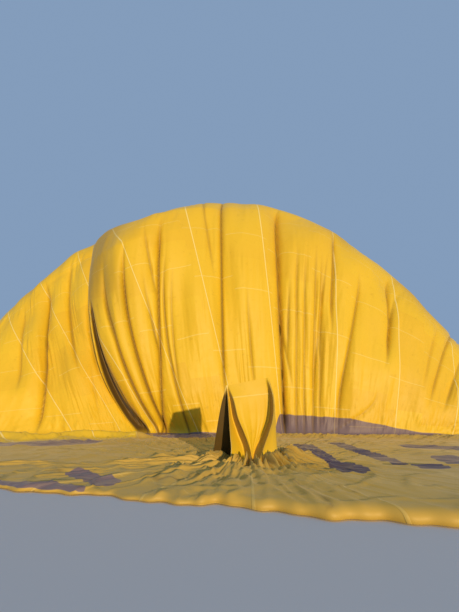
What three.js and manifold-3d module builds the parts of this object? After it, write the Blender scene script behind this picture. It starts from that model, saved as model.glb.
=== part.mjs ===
// A hot air balloon lying partly inflated on the ground, as it is when it is being emptied:
// crown end collapsed flat at the front, a tall slack dome behind it, mouth wired to the upright basket.
import * as THREE from "three";
import { mergeVertices } from "three/addons/utils/BufferGeometryUtils.js";
import Module from "manifold-3d";

const wasm = await Module();
wasm.setup();

// Lengths are in millimetres. X runs across the dome, Y from the crown end to the basket, Z up.

// Gap left between pieces that touch
const TOUCH = 0.3;

// Envelope, 20 gores: 12 stand up as the dome and 8 lie under it
const FABRIC = 10;
const DOME_SEAM_GAP = 3;
const FLAT_SEAM_GAP = 1;
const GORE_WIDTH = 2500;
const LAYER_GAP = 0.4;
const UPPER_LAYER = FABRIC * 2 + LAYER_GAP;
const DOME_HEIGHT = 9150;
const WALL_Y = 15100;
const CREST_Y = 18500;
const MOUTH_Y = 25800;
const DOME_TOP_X = 200;
const LEFT_FULLNESS = 0.72;
const RIGHT_FULLNESS = 0.93;
const MOUTH_HALF_WIDTH = 2600;
const MOUTH_HEIGHT = 3300;
const GATHER = 70;
const FOOT_RISE = 40;
const GROUND_RISE = 180;

// Seams between the gores of the dome, left to right:
// [x at the crest, x at the foot of the wall, y at the foot, x and y halfway over the ground to the crown]
const DOME_SEAMS = [
  [-11200, -10200, 14200, -6400, 9000],
  [-9900, -8100, 15000, -4300, 11900],
  [-8700, -4900, WALL_Y, -2700, 12200],
  [-7600, -3400, WALL_Y, -1900, 12200],
  [-6250, -2300, WALL_Y, -1300, 12300],
  [-4400, -950, WALL_Y, -550, 12300],
  [-1830, 330, WALL_Y, 250, 12300],
  [1090, 1700, WALL_Y, 1100, 12300],
  [4100, 3350, WALL_Y, 2100, 12300],
  [6350, 5250, WALL_Y, 3200, 12200],
  [8200, 7100, WALL_Y, 4400, 12000],
  [9600, 8700, 14900, 5900, 11300],
  [10600, 9900, 14200, 7900, 6900],
];
const DOME_GORES = DOME_SEAMS.length - 1;
const DOME_LEFT_X = DOME_SEAMS[0][0];
const DOME_RIGHT_X = DOME_SEAMS[DOME_GORES][0];
const GORE_STEPS = 3;

// Great fold left of the middle: the wall to its right bellies out over it, the wall to its left sinks in.
// From the foot of the wall to the crest: [along, gore place of the fold, depth, width of the flank]
const GREAT_FOLD = [
  [1, 3.5, 0, 700],
  [1.1, 3.38, 750, 700],
  [1.25, 3.56, 950, 800],
  [1.35, 3.73, 1050, 950],
  [1.6, 4.16, 1150, 1500],
  [1.75, 4.36, 750, 2000],
  [1.9, 4.52, 100, 2200],
  [2, 4.6, 0, 2200],
];
const SINKING_SHARE = 0.35;
const SINKING_REACH = 2200;
const BELLY_REACH = 3000;
const FOLDED_GORES = [3, 4];
const FOLDED_GORE_STEPS = 8;

// Front edge of the cloth on the ground, at the seams of the gores that lie under, left to right: [x, y]
const FRONT_EDGE = [
  [-6400, 9000],
  [-4700, 7900],
  [-2900, 7150],
  [-1200, 6600],
  [300, 6100],
  [2000, 5450],
  [3900, 5000],
  [6000, 5250],
  [7900, 6900],
];
const UNDER_GORES = FRONT_EDGE.length - 1;
const GORES_PER_FRONT_PANEL = 2;
const FRONT_RISE = 90;

// Crown: the opening that every gore runs to, and the stiff fold of the vent panel that stands in it
const CROWN_X = 380;
const CROWN_Y = 9050;
const CROWN_RX = 760;
const CROWN_RY = 620;
const CROWN_LIFT = 260;
const VENT_FOLD = {
  height: 1680,
  topWidth: 740,
  topDepth: 110,
  footWidth: 1080,
  footDepth: 820,
  belly: 60,
};

// Basket, open at the top, with a step hole in each end wall
const BASKET_Y = 29300;
const BASKET = { width: 1500, depth: 1200, height: 1080, wall: 45, flare: 60, corner: 160 };
const RUNNER = { width: 70, height: 45, count: 3, pitch: 420, inset: 80 };
const FLOOR = 18;
const FLOOR_TOP = RUNNER.height + FLOOR + 1;
const RIM_RADIUS = 45;
const STEP_HOLE = { width: 240, height: 150, z: 480, cut: 200 };

// Load frame over the basket, on four padded uprights
const FRAME_Z = 2020;
const FRAME = { width: 1240, depth: 960, tube: 40, lug: 90 };
const UPRIGHT = { radius: 28, inset: 69, footGap: 1.2, headGap: 2.9 };
const KARABINER = { width: 60, length: 110, bar: 10, gap: 0.4 };
const WIRE = { perCorner: 5, radius: 3, bead: 12, low: 60, endGap: 2.5 };
// How far round the mouth the wires spread, in half turns from its side, and the low wires' x at the mouth
const REAR_SPREAD = [0.5, 0.16];
const FRONT_SPREAD = [0.16, -0.02];
const LOW_WIRE_SHARES = [0.75, 0.3];

// Burner: twin cans in a gimbal ring, level, tilting about X in the ring and with the ring about Y
const RING = { width: 760, depth: 620, tube: 28 };
const PIVOT = { radius: 12, gap: 0.4, root: 10 };
const CAN = { radius: 150, baseRadius: 120, height: 330, bend: 60, wall: 6, spacing: 340 };
const CAN_STEM = { radius: 30, bottom: 20, height: 90, gap: 0.4 };
const BURNER_BLOCK = { width: 620, depth: 70, height: 60 };

// Gas cylinders, one in each corner of the basket
const CYLINDER = {
  radius: 150,
  height: 820,
  foot: { inset: 25, height: 30 },
  shoulder: 70,
  bend: { inset: 40, drop: 20 },
  collar: 70,
  collarRadius: 85,
  margin: 22,
};
const EXTINGUISHER = { radius: 50, height: 330, neck: 20, shoulder: 70, neckHeight: 40, margin: 12 };

const YELLOW = new THREE.MeshStandardMaterial({ color: 0xe0a818, roughness: 0.75, metalness: 0 });
const OLIVE = new THREE.MeshStandardMaterial({ color: 0xa89438, roughness: 0.8, metalness: 0 });
const WICKER = new THREE.MeshStandardMaterial({ color: 0xa5763f, roughness: 0.85, metalness: 0 });
const PLYWOOD = new THREE.MeshStandardMaterial({ color: 0xb08a5a, roughness: 0.7, metalness: 0 });
const HIDE = new THREE.MeshStandardMaterial({ color: 0x5a3b26, roughness: 0.7, metalness: 0 });
const PADDING = new THREE.MeshStandardMaterial({ color: 0x2b2f45, roughness: 0.8, metalness: 0 });
const STEEL = new THREE.MeshStandardMaterial({ color: 0xb4b6b8, roughness: 0.35, metalness: 1 });
const ALLOY = new THREE.MeshStandardMaterial({ color: 0xc8cacc, roughness: 0.45, metalness: 1 });
const RED_PAINT = new THREE.MeshStandardMaterial({ color: 0xb02018, roughness: 0.4, metalness: 0 });

const balloon = new THREE.Group();
balloon.name = "hot_air_balloon";

function add(name, geometry, material, parent = balloon) {
  const mesh = new THREE.Mesh(geometry, material);
  mesh.name = name;
  parent.add(mesh);
  return mesh;
}

function mix(a, b, t) {
  return a + (b - a) * t;
}

// Mesh from a list of points and a list of corner numbers, three for each face
function fromPoints(points, faces) {
  const geometry = new THREE.BufferGeometry();
  const positions = points.flatMap((p) => [p.x, p.y, p.z]);
  geometry.setAttribute("position", new THREE.Float32BufferAttribute(positions, 3));
  geometry.setIndex(faces);
  return geometry;
}

// Value of a table's column at a fractional row, on a smooth curve through the rows
function column(table, index, place) {
  const row = Math.min(Math.max(Math.floor(place), 0), table.length - 2);
  const t = place - row;
  const at = (k) => table[Math.min(Math.max(k, 0), table.length - 1)][index];
  const before = (at(row + 1) - at(row - 1)) / 2;
  const after = (at(row + 2) - at(row)) / 2;
  const t2 = t * t;
  const t3 = t2 * t;
  return (2 * t3 - 3 * t2 + 1) * at(row) + (t3 - 2 * t2 + t) * before
    + (3 * t2 - 2 * t3) * at(row + 1) + (t3 - t2) * after;
}

// Closed cloth strip: surface(u, v) is its outer skin, and its inner skin lies FABRIC below
function clothStrip(surface, uStops, vStops) {
  const step = 0.002;
  const columns = uStops.length;
  const rows = vStops.length;
  const outer = [];
  const inner = [];
  for (const v of vStops) {
    for (const u of uStops) {
      const point = surface(u, v);
      const alongU = surface(u + step, v).sub(surface(u - step, v));
      const alongV = surface(u, v + step).sub(surface(u, v - step));
      const normal = alongU.cross(alongV).normalize();
      outer.push(point);
      inner.push(point.clone().addScaledVector(normal, -FABRIC));
    }
  }
  return shellBetween(outer, inner, columns, rows);
}

// Closed shell between two grids of points, row by row, with a rim along the four edges
function shellBetween(outer, inner, columns, rows) {
  const shift = columns * rows;
  const faces = [];
  const quad = (a, b, c, d) => faces.push(a, b, c, a, c, d);
  for (let j = 0; j < rows - 1; j++) {
    for (let i = 0; i < columns - 1; i++) {
      const a = j * columns + i;
      quad(a, a + 1, a + 1 + columns, a + columns);
      quad(shift + a, shift + a + columns, shift + a + 1 + columns, shift + a + 1);
    }
  }
  const border = [];
  for (let i = 0; i < columns; i++) border.push(i);
  for (let j = 1; j < rows; j++) border.push(j * columns + columns - 1);
  for (let i = columns - 2; i >= 0; i--) border.push((rows - 1) * columns + i);
  for (let j = rows - 2; j >= 1; j--) border.push(j * columns);
  border.forEach((a, k) => {
    const b = border[(k + 1) % border.length];
    quad(shift + a, shift + b, b, a);
  });
  return fromPoints([...outer, ...inner], faces);
}

function stops(count, from, to) {
  return Array.from({ length: count + 1 }, (_, k) => mix(from, to, k / count));
}

// Height of the dome's ridge line over x, at the crest
function crestHeight(x) {
  const left = x < DOME_TOP_X;
  const half = left ? DOME_TOP_X - DOME_LEFT_X : DOME_RIGHT_X - DOME_TOP_X;
  const share = Math.min(Math.abs(x - DOME_TOP_X) / half, 1);
  return (DOME_HEIGHT - UPPER_LAYER) * (1 - share ** 2) ** (left ? LEFT_FULLNESS : RIGHT_FULLNESS);
}

// How far the great fold moves the wall toward the basket, at a height and an x
function greatFoldPush(along, x) {
  const row = GREAT_FOLD.findLastIndex(([height], k) => height <= along && k < GREAT_FOLD.length - 1);
  const [from, to] = [GREAT_FOLD[row], GREAT_FOLD[row + 1]];
  const t = (along - from[0]) / (to[0] - from[0]);
  const [place, depth, width] = [1, 2, 3].map((k) => mix(from[k], to[k], t));
  const rise = Math.sin((along - 1) * Math.PI / 2);
  const away = x - mix(column(DOME_SEAMS, 1, place), column(DOME_SEAMS, 0, place), rise);
  const flank = Math.sin(Math.min(Math.max(away / width, 0), 1) * Math.PI / 2);
  const sunk = (1 - flank) * Math.exp(-((Math.min(away, 0) / SINKING_REACH) ** 2));
  const bellied = flank * Math.exp(-((Math.max(away - width, 0) / BELLY_REACH) ** 2));
  return depth * (SINKING_SHARE * sunk - (1 - SINKING_SHARE) * bellied);
}

function crownPoint(angle) {
  return [CROWN_X + CROWN_RX * Math.cos(angle), CROWN_Y + CROWN_RY * Math.sin(angle)];
}

// Dome surface. place runs over the seams from left to right, and along has three parts:
// 0 to 1 over the ground from the crown, 1 to 2 up the wall to the crest, 2 to 3 down to the mouth.
function domeSurface(place, along) {
  const seam = (index) => column(DOME_SEAMS, index, place);
  const share = place / DOME_GORES;
  const [crownX, crownY] = crownPoint(Math.PI * (1 - share));
  const arch = Math.sin(Math.PI * share);
  const foot = new THREE.Vector3(seam(1), seam(2), UPPER_LAYER + FOOT_RISE * arch);
  const crest = new THREE.Vector3(seam(0), CREST_Y, UPPER_LAYER + crestHeight(seam(0)));
  const mouth = new THREE.Vector3(
    -MOUTH_HALF_WIDTH * Math.cos(Math.PI * share),
    MOUTH_Y,
    UPPER_LAYER + (MOUTH_HEIGHT - UPPER_LAYER) * arch,
  );
  const slack = GATHER * arch * Math.abs(Math.sin(Math.PI * place));
  if (along <= 1) {
    const half = new THREE.Vector3(seam(3), seam(4), UPPER_LAYER + GROUND_RISE * arch);
    const crown = new THREE.Vector3(crownX, crownY, UPPER_LAYER + CROWN_LIFT);
    return along < 0.5 ? crown.lerp(half, along * 2) : half.lerp(foot, along * 2 - 1);
  }
  if (along <= 2) {
    const turn = (along - 1) * Math.PI / 2;
    const x = mix(foot.x, crest.x, Math.sin(turn));
    const outward = slack * Math.cos(turn) * Math.sin(turn) * 2;
    return new THREE.Vector3(
      x,
      mix(foot.y, crest.y, 1 - Math.cos(turn)) - outward + greatFoldPush(along, x),
      mix(foot.z, crest.z, Math.sin(turn)) + slack * (1 - Math.cos(turn)) * Math.sin(turn),
    );
  }
  const back = along - 2;
  const fall = back ** 1.7;
  return new THREE.Vector3(
    mix(crest.x, mouth.x, back ** 1.5),
    mix(crest.y, mouth.y, back),
    mix(crest.z, mouth.z, fall) + slack * (1 - back),
  );
}

// Dome gores, each from the crown over the crest to the mouth
const domeRows = [...stops(4, 0, 1).slice(0, -1), ...stops(12, 1, 2).slice(0, -1), ...stops(7, 2, 3)];
for (let k = 0; k < DOME_GORES; k++) {
  const inset = DOME_SEAM_GAP / GORE_WIDTH;
  const name = `dome_gore_${String(k + 1).padStart(2, "0")}`;
  const steps = FOLDED_GORES.includes(k) ? FOLDED_GORE_STEPS : GORE_STEPS;
  add(name, clothStrip(domeSurface, stops(steps, k + inset, k + 1 - inset), domeRows), YELLOW);
}

// Edge of the dome along one of its outer seams, from the front corner back to the mouth
function sideEdge(place, along) {
  return domeSurface(place, mix(0.5, 3, Math.max(along, 0)));
}

// Cloth lying under everything: across runs over the under gores, along from the front edge to the mouth
function underSurface(across, along) {
  const share = across / UNDER_GORES;
  const left = sideEdge(0, along);
  const right = sideEdge(DOME_GORES, along);
  const bow = (1 - along) ** 3;
  const bowOf = (axis) => bow * (
    column(FRONT_EDGE, axis, across) - mix(FRONT_EDGE[0][axis], FRONT_EDGE[UNDER_GORES][axis], share)
  );
  return new THREE.Vector3(
    mix(left.x, right.x, share) + bowOf(0),
    mix(left.y, right.y, share) + bowOf(1),
    FABRIC,
  );
}

for (let k = 0; k < UNDER_GORES; k++) {
  const inset = FLAT_SEAM_GAP / GORE_WIDTH;
  add(
    `under_gore_${k + 1}`,
    clothStrip(underSurface, stops(2, k + inset, k + 1 - inset), stops(12, 0, 1)),
    OLIVE,
  );
}

// Front panels: the under gores' first stretch, from the crown out to the front edge, over the cloth below
function frontSurface(across, out) {
  const share = across / UNDER_GORES;
  const [crownX, crownY] = crownPoint(Math.PI * (1 + share));
  const arch = Math.sin(Math.PI * Math.min(Math.max(out, 0), 1));
  const rise = FRONT_RISE * arch + (1 - out) * CROWN_LIFT;
  return new THREE.Vector3(
    mix(crownX, column(FRONT_EDGE, 0, across), out),
    mix(crownY, column(FRONT_EDGE, 1, across), out),
    UPPER_LAYER + rise,
  );
}

for (let k = 0; k < UNDER_GORES / GORES_PER_FRONT_PANEL; k++) {
  const inset = FLAT_SEAM_GAP / GORE_WIDTH;
  const from = k * GORES_PER_FRONT_PANEL + inset;
  const to = (k + 1) * GORES_PER_FRONT_PANEL - inset;
  add(`front_panel_${k + 1}`, clothStrip(frontSurface, stops(6, from, to), stops(5, 0, 1)), OLIVE);
}

// Standing fold of the vent panel: a hollow wedge of cloth, open at the foot
function ventFold() {
  const { height, topWidth, topDepth, footWidth, footDepth, belly } = VENT_FOLD;
  const corners = [[-1, -1], [0, -1], [1, -1], [1, 0], [1, 1], [0, 1], [-1, 1], [-1, 0]];
  const base = FABRIC + LAYER_GAP;
  const skin = (inset) => {
    const rings = [];
    for (const level of [0, 0.4, 0.75, 1]) {
      const halfWidth = mix(footWidth, topWidth, level) / 2 - inset;
      const halfDepth = mix(footDepth, topDepth, level) / 2 - inset;
      const z = level === 1 ? base + height - inset : base + height * level;
      rings.push(corners.map(([sx, sy]) => new THREE.Vector3(
        CROWN_X + sx * halfWidth,
        CROWN_Y + sy * halfDepth - (sx === 0 && sy < 0 ? belly * (1 - level) : 0),
        z,
      )));
    }
    return rings;
  };
  const outer = skin(0);
  const inner = skin(FABRIC);
  const count = corners.length;
  const points = [...outer.flat(), ...inner.flat()];
  const top = points.length;
  points.push(new THREE.Vector3(CROWN_X, CROWN_Y, base + height));
  points.push(new THREE.Vector3(CROWN_X, CROWN_Y, base + height - FABRIC));
  const shift = outer.length * count;
  const faces = [];
  for (let k = 0; k < count; k++) {
    const next = (k + 1) % count;
    for (let ring = 0; ring < outer.length - 1; ring++) {
      const a = ring * count + k;
      const b = ring * count + next;
      faces.push(a, b, b + count, a, b + count, a + count);
      faces.push(shift + a, shift + b + count, shift + b, shift + a, shift + a + count, shift + b + count);
    }
    const last = (outer.length - 1) * count;
    faces.push(last + k, last + next, top);
    faces.push(shift + last + next, shift + last + k, top + 1);
    faces.push(k, shift + next, next, k, shift + k, shift + next);
  }
  return fromPoints(points, faces);
}
add("vent_fold", ventFold(), YELLOW);

// Closed mesh as a solid that can be joined and cut
function toSolid(geometry) {
  const bare = geometry.clone();
  bare.deleteAttribute("normal");
  bare.deleteAttribute("uv");
  const merged = mergeVertices(bare, 1e-3);
  return new wasm.Manifold(new wasm.Mesh({
    numProp: 3,
    vertProperties: new Float32Array(merged.attributes.position.array),
    triVerts: new Uint32Array(merged.index.array),
  }));
}

function fromSolid(solid) {
  const { vertProperties, triVerts } = solid.getMesh();
  const geometry = new THREE.BufferGeometry();
  geometry.setAttribute("position", new THREE.BufferAttribute(new Float32Array(vertProperties), 3));
  geometry.setIndex(new THREE.BufferAttribute(new Uint32Array(triVerts), 1));
  return geometry;
}

function join(geometries) {
  return fromSolid(geometries.map(toSolid).reduce((whole, piece) => whole.add(piece)));
}

function cut(geometry, tools) {
  return fromSolid(tools.map(toSolid).reduce((whole, tool) => whole.subtract(tool), toSolid(geometry)));
}

function box(width, depth, height, x, y, z) {
  return new THREE.BoxGeometry(width, depth, height).translate(x, y, z);
}

function pillar(radius, height, sides, x, y, z) {
  return new THREE.CylinderGeometry(radius, radius, height, sides).rotateX(Math.PI / 2).translate(x, y, z);
}

// Straight rod between two points
function rod(from, to, radius, sides = 8) {
  const along = to.clone().sub(from);
  const geometry = new THREE.CylinderGeometry(radius, radius, along.length(), sides);
  geometry.applyQuaternion(new THREE.Quaternion().setFromUnitVectors(
    new THREE.Vector3(0, 1, 0),
    along.clone().normalize(),
  ));
  const middle = from.clone().add(to).multiplyScalar(0.5);
  return geometry.translate(middle.x, middle.y, middle.z);
}

// Rounded rectangle, as a shape or as a list of points
function roundedRectangle(width, depth, radius) {
  const w = width / 2;
  const d = depth / 2;
  const shape = new THREE.Shape();
  shape.moveTo(-w + radius, -d);
  shape.lineTo(w - radius, -d);
  shape.absarc(w - radius, -d + radius, radius, -Math.PI / 2, 0);
  shape.lineTo(w, d - radius);
  shape.absarc(w - radius, d - radius, radius, 0, Math.PI / 2);
  shape.lineTo(-w + radius, d);
  shape.absarc(-w + radius, d - radius, radius, Math.PI / 2, Math.PI);
  shape.lineTo(-w, -d + radius);
  shape.absarc(-w + radius, -d + radius, radius, Math.PI, Math.PI * 1.5);
  return shape;
}

// Basket group, with its own origin on the ground under its middle
const basket = new THREE.Group();
basket.position.set(0, BASKET_Y, 0);
balloon.add(basket);

// Loft between two rounded rectangles, flaring outward to the top
function flaredBlock(width, depth, bottom, top, flare) {
  const segments = 4;
  const ring = (w, d, z) => roundedRectangle(w, d, BASKET.corner).getPoints(segments)
    .slice(0, -1).map((p) => new THREE.Vector3(p.x, p.y, z));
  const low = ring(width - flare, depth - flare, bottom);
  const high = ring(width, depth, top);
  const count = low.length;
  const points = [...low, ...high, new THREE.Vector3(0, 0, bottom), new THREE.Vector3(0, 0, top)];
  const faces = [];
  for (let k = 0; k < count; k++) {
    const next = (k + 1) % count;
    faces.push(k, next, count + next, k, count + next, count + k);
    faces.push(2 * count, next, k, 2 * count + 1, count + k, count + next);
  }
  return fromPoints(points, faces);
}

const WALL_TOP = BASKET.height - RIM_RADIUS * 2 - TOUCH;
const CUT_MARGIN = 10;
const stepHoles = [-1, 1].map((side) => box(
  STEP_HOLE.cut,
  STEP_HOLE.width,
  STEP_HOLE.height,
  side * BASKET.width / 2,
  0,
  STEP_HOLE.z,
));
const hollow = flaredBlock(
  BASKET.width - 2 * BASKET.wall,
  BASKET.depth - 2 * BASKET.wall,
  FLOOR_TOP - CUT_MARGIN,
  WALL_TOP + CUT_MARGIN,
  BASKET.flare,
);
const walls = flaredBlock(BASKET.width, BASKET.depth, FLOOR_TOP, WALL_TOP, BASKET.flare);
add("basket_walls", cut(walls, [hollow, ...stepHoles]), WICKER, basket);
add("basket_floor", new THREE.ExtrudeGeometry(
  roundedRectangle(BASKET.width - BASKET.flare, BASKET.depth - BASKET.flare, BASKET.corner),
  { depth: FLOOR, bevelEnabled: false, curveSegments: 4 },
).translate(0, 0, RUNNER.height + LAYER_GAP), PLYWOOD, basket);
for (let k = 0; k < RUNNER.count; k++) {
  const y = (k - (RUNNER.count - 1) / 2) * RUNNER.pitch;
  add(`basket_runner_${k + 1}`, box(
    BASKET.width - 2 * RUNNER.inset,
    RUNNER.width,
    RUNNER.height,
    0,
    y,
    RUNNER.height / 2,
  ), PLYWOOD, basket);
}

// Padded rim, a rounded tube round the top of the walls
class RimPath extends THREE.Curve {
  getPoint(t) {
    const outline = roundedRectangle(BASKET.width - BASKET.wall, BASKET.depth - BASKET.wall, BASKET.corner);
    const p = outline.getPointAt(t % 1);
    return new THREE.Vector3(p.x, p.y, BASKET.height - RIM_RADIUS);
  }
}

function closedTube(path, steps, sides, radius) {
  const points = [];
  const faces = [];
  const up = new THREE.Vector3(0, 0, 1);
  for (let k = 0; k < steps; k++) {
    const centre = path.getPoint(k / steps);
    const ahead = path.getPoint(((k + 0.5) / steps) % 1);
    const behind = path.getPoint((k - 0.5 + steps) / steps % 1);
    const out = ahead.clone().sub(behind).cross(up).normalize();
    for (let s = 0; s < sides; s++) {
      const turn = (s / sides) * Math.PI * 2;
      const point = centre.clone().addScaledVector(out, radius * Math.cos(turn));
      points.push(point.addScaledVector(up, radius * Math.sin(turn)));
      const next = ((k + 1) % steps) * sides;
      const a = k * sides + s;
      const b = k * sides + (s + 1) % sides;
      faces.push(a, next + s, next + (s + 1) % sides, a, next + (s + 1) % sides, b);
    }
  }
  return fromPoints(points, faces);
}
add("basket_rim", closedTube(new RimPath(), 40, 8, RIM_RADIUS), HIDE, basket);

// Corners, in the order back left, back right, front left, front right
const CORNERS = [[-1, 1], [1, 1], [-1, -1], [1, -1]];
const cornerName = ([sx, sy]) => `${sy > 0 ? "rear" : "front"}_${sx < 0 ? "left" : "right"}`;

for (const [sx, sy] of CORNERS) {
  const foot = new THREE.Vector3(
    sx * (BASKET.width / 2 - UPRIGHT.inset),
    sy * (BASKET.depth / 2 - UPRIGHT.inset),
    BASKET.height + UPRIGHT.footGap,
  );
  const head = new THREE.Vector3(
    sx * FRAME.width / 2,
    sy * FRAME.depth / 2,
    FRAME_Z - FRAME.tube / 2 - UPRIGHT.headGap,
  );
  add(`upright_${cornerName([sx, sy])}`, rod(foot, head, UPRIGHT.radius, 10), PADDING, basket);
}

// Four square tubes that make a rectangle, round the origin
function tubeFrame({ width, depth, tube }) {
  return [
    box(width, tube, tube, 0, depth / 2, 0),
    box(width, tube, tube, 0, -depth / 2, 0),
    box(tube, depth, tube, width / 2, 0, 0),
    box(tube, depth, tube, -width / 2, 0, 0),
  ];
}

// Load frame: a rectangle of tubes with a lug at each corner
const frameLugs = CORNERS.map(([sx, sy]) => box(
  FRAME.lug,
  FRAME.lug,
  FRAME.tube,
  sx * FRAME.width / 2,
  sy * FRAME.depth / 2,
  0,
));
const loadFrame = join([...tubeFrame(FRAME), ...frameLugs]);
add("load_frame", loadFrame.translate(0, 0, FRAME_Z), STEEL, basket);

// Gimbal ring: a rectangle of tubes that tilts about Y on two stub pivots, front and rear
const gimbal = new THREE.Group();
gimbal.position.set(0, 0, FRAME_Z);
basket.add(gimbal);
const frameInside = FRAME.depth / 2 - FRAME.tube / 2 - PIVOT.gap;
const ringPivots = [-1, 1].map((side) => rod(
  new THREE.Vector3(0, side * RING.depth / 2, 0),
  new THREE.Vector3(0, side * frameInside, 0),
  PIVOT.radius,
  12,
));
add("gimbal_ring", join([...tubeFrame(RING), ...ringPivots]), STEEL, gimbal);

// Burner: block across the ring on two stub pivots, and two cans standing on it
const ringInside = RING.width / 2 - RING.tube / 2 - PIVOT.gap;
const blockPivots = [-1, 1].map((side) => rod(
  new THREE.Vector3(side * (BURNER_BLOCK.width / 2 - PIVOT.root), 0, 0),
  new THREE.Vector3(side * ringInside, 0, 0),
  PIVOT.radius,
  12,
));
const canStems = [-1, 1].map((side) => pillar(
  CAN_STEM.radius,
  CAN_STEM.height,
  12,
  side * CAN.spacing / 2,
  0,
  CAN_STEM.bottom + CAN_STEM.height / 2,
));
const block = box(BURNER_BLOCK.width, BURNER_BLOCK.depth, BURNER_BLOCK.height, 0, 0, 0);
add("burner_block", join([block, ...blockPivots, ...canStems]), ALLOY, gimbal);
for (const side of [-1, 1]) {
  const profile = [
    [0, 0],
    [CAN.baseRadius, 0],
    [CAN.radius, CAN.bend],
    [CAN.radius, CAN.height],
    [CAN.radius - CAN.wall, CAN.height],
    [CAN.radius - CAN.wall, CAN.bend],
    [CAN.baseRadius - CAN.wall, CAN.wall],
    [0, CAN.wall],
  ].map(([r, z]) => new THREE.Vector2(r, z));
  add(
    `burner_can_${side < 0 ? "left" : "right"}`,
    new THREE.LatheGeometry(profile, 24).rotateX(Math.PI / 2).translate(
      side * CAN.spacing / 2,
      0,
      CAN_STEM.bottom + CAN_STEM.height + CAN_STEM.gap,
    ),
    STEEL,
    gimbal,
  );
}

// Karabiners outside the frame's lugs, and the flying wires that fan out from them to the mouth
for (const corner of CORNERS) {
  const [sx, sy] = corner;
  const name = cornerName(corner);
  const { width, length, bar, gap } = KARABINER;
  const outline = roundedRectangle(length, width, width / 2 - 1);
  const hole = roundedRectangle(length - 2 * bar, width - 2 * bar, width / 2 - bar - 1);
  outline.holes.push(new THREE.Path(hole.getPoints(6)));
  const link = new THREE.ExtrudeGeometry(outline, { depth: bar, bevelEnabled: false, curveSegments: 6 });
  const lugFace = FRAME.width / 2 + FRAME.lug / 2;
  const linkX = lugFace + gap + length / 2;
  link.translate(sx * linkX, sy * FRAME.depth / 2, FRAME_Z - bar / 2);
  add(`karabiner_${name}`, link, STEEL, basket);

  const start = new THREE.Vector3(
    sx * (lugFace + length + WIRE.bead + 2 * TOUCH),
    sy * FRAME.depth / 2,
    FRAME_Z,
  );
  const wires = [new THREE.SphereGeometry(WIRE.bead, 8, 6).translate(start.x, start.y, start.z)];
  const spread = sy > 0 ? REAR_SPREAD : FRONT_SPREAD;
  const lowFrom = sy > 0 ? WIRE.perCorner : WIRE.perCorner - LOW_WIRE_SHARES.length;
  for (let k = 0; k < WIRE.perCorner; k++) {
    const angle = Math.PI * mix(...spread, (k + 0.5) / WIRE.perCorner);
    let x = MOUTH_HALF_WIDTH * Math.cos(angle);
    let z = UPPER_LAYER + (MOUTH_HEIGHT - UPPER_LAYER) * Math.sin(angle);
    if (k >= lowFrom) {
      x = MOUTH_HALF_WIDTH * LOW_WIRE_SHARES[k - lowFrom];
      z = WIRE.low;
    }
    const end = new THREE.Vector3(sx * x, MOUTH_Y + WIRE.endGap - BASKET_Y, z - FABRIC / 2);
    wires.push(rod(start, end, WIRE.radius, 6));
  }
  add(`flying_wires_${name}`, join(wires), STEEL, basket);
}

// Gas cylinders, valve collar on top, one in each corner
for (const corner of CORNERS) {
  const [sx, sy] = corner;
  const { radius, height, shoulder, collar, collarRadius, margin, foot, bend } = CYLINDER;
  const profile = [
    [0, 0],
    [radius - foot.inset, 0],
    [radius, foot.height],
    [radius, height - shoulder],
    [radius - bend.inset, height - bend.drop],
    [collarRadius, height],
    [collarRadius, height + collar],
    [0, height + collar],
  ].map(([r, z]) => new THREE.Vector2(r, z));
  const inset = BASKET.wall + BASKET.flare / 2 + radius + margin;
  add(
    `gas_cylinder_${cornerName(corner)}`,
    new THREE.LatheGeometry(profile, 20).rotateX(Math.PI / 2).translate(
      sx * (BASKET.width / 2 - inset),
      sy * (BASKET.depth / 2 - inset),
      FLOOR_TOP,
    ),
    PADDING,
    basket,
  );
}

// Fire extinguisher, standing against the middle of the rear wall
const extinguisherProfile = [
  [0, 0],
  [EXTINGUISHER.radius, 0],
  [EXTINGUISHER.radius, EXTINGUISHER.height - EXTINGUISHER.shoulder],
  [EXTINGUISHER.neck, EXTINGUISHER.height - EXTINGUISHER.neckHeight],
  [EXTINGUISHER.neck, EXTINGUISHER.height],
  [0, EXTINGUISHER.height],
].map(([r, z]) => new THREE.Vector2(r, z));
const wallInside = BASKET.depth / 2 - BASKET.wall - BASKET.flare / 2;
add("fire_extinguisher", new THREE.LatheGeometry(extinguisherProfile, 16).rotateX(Math.PI / 2).translate(
  0,
  wallInside - EXTINGUISHER.radius - EXTINGUISHER.margin,
  FLOOR_TOP,
), RED_PAINT, basket);

// The origin is on the ground, under the middle of the whole balloon
const part = new THREE.Group();
part.add(balloon);
part.updateMatrixWorld(true);
const bounds = new THREE.Box3().setFromObject(balloon, true);
const middle = bounds.getCenter(new THREE.Vector3());
balloon.position.set(-middle.x, -middle.y, -bounds.min.z);
part.updateMatrixWorld(true);

export default part;
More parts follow.
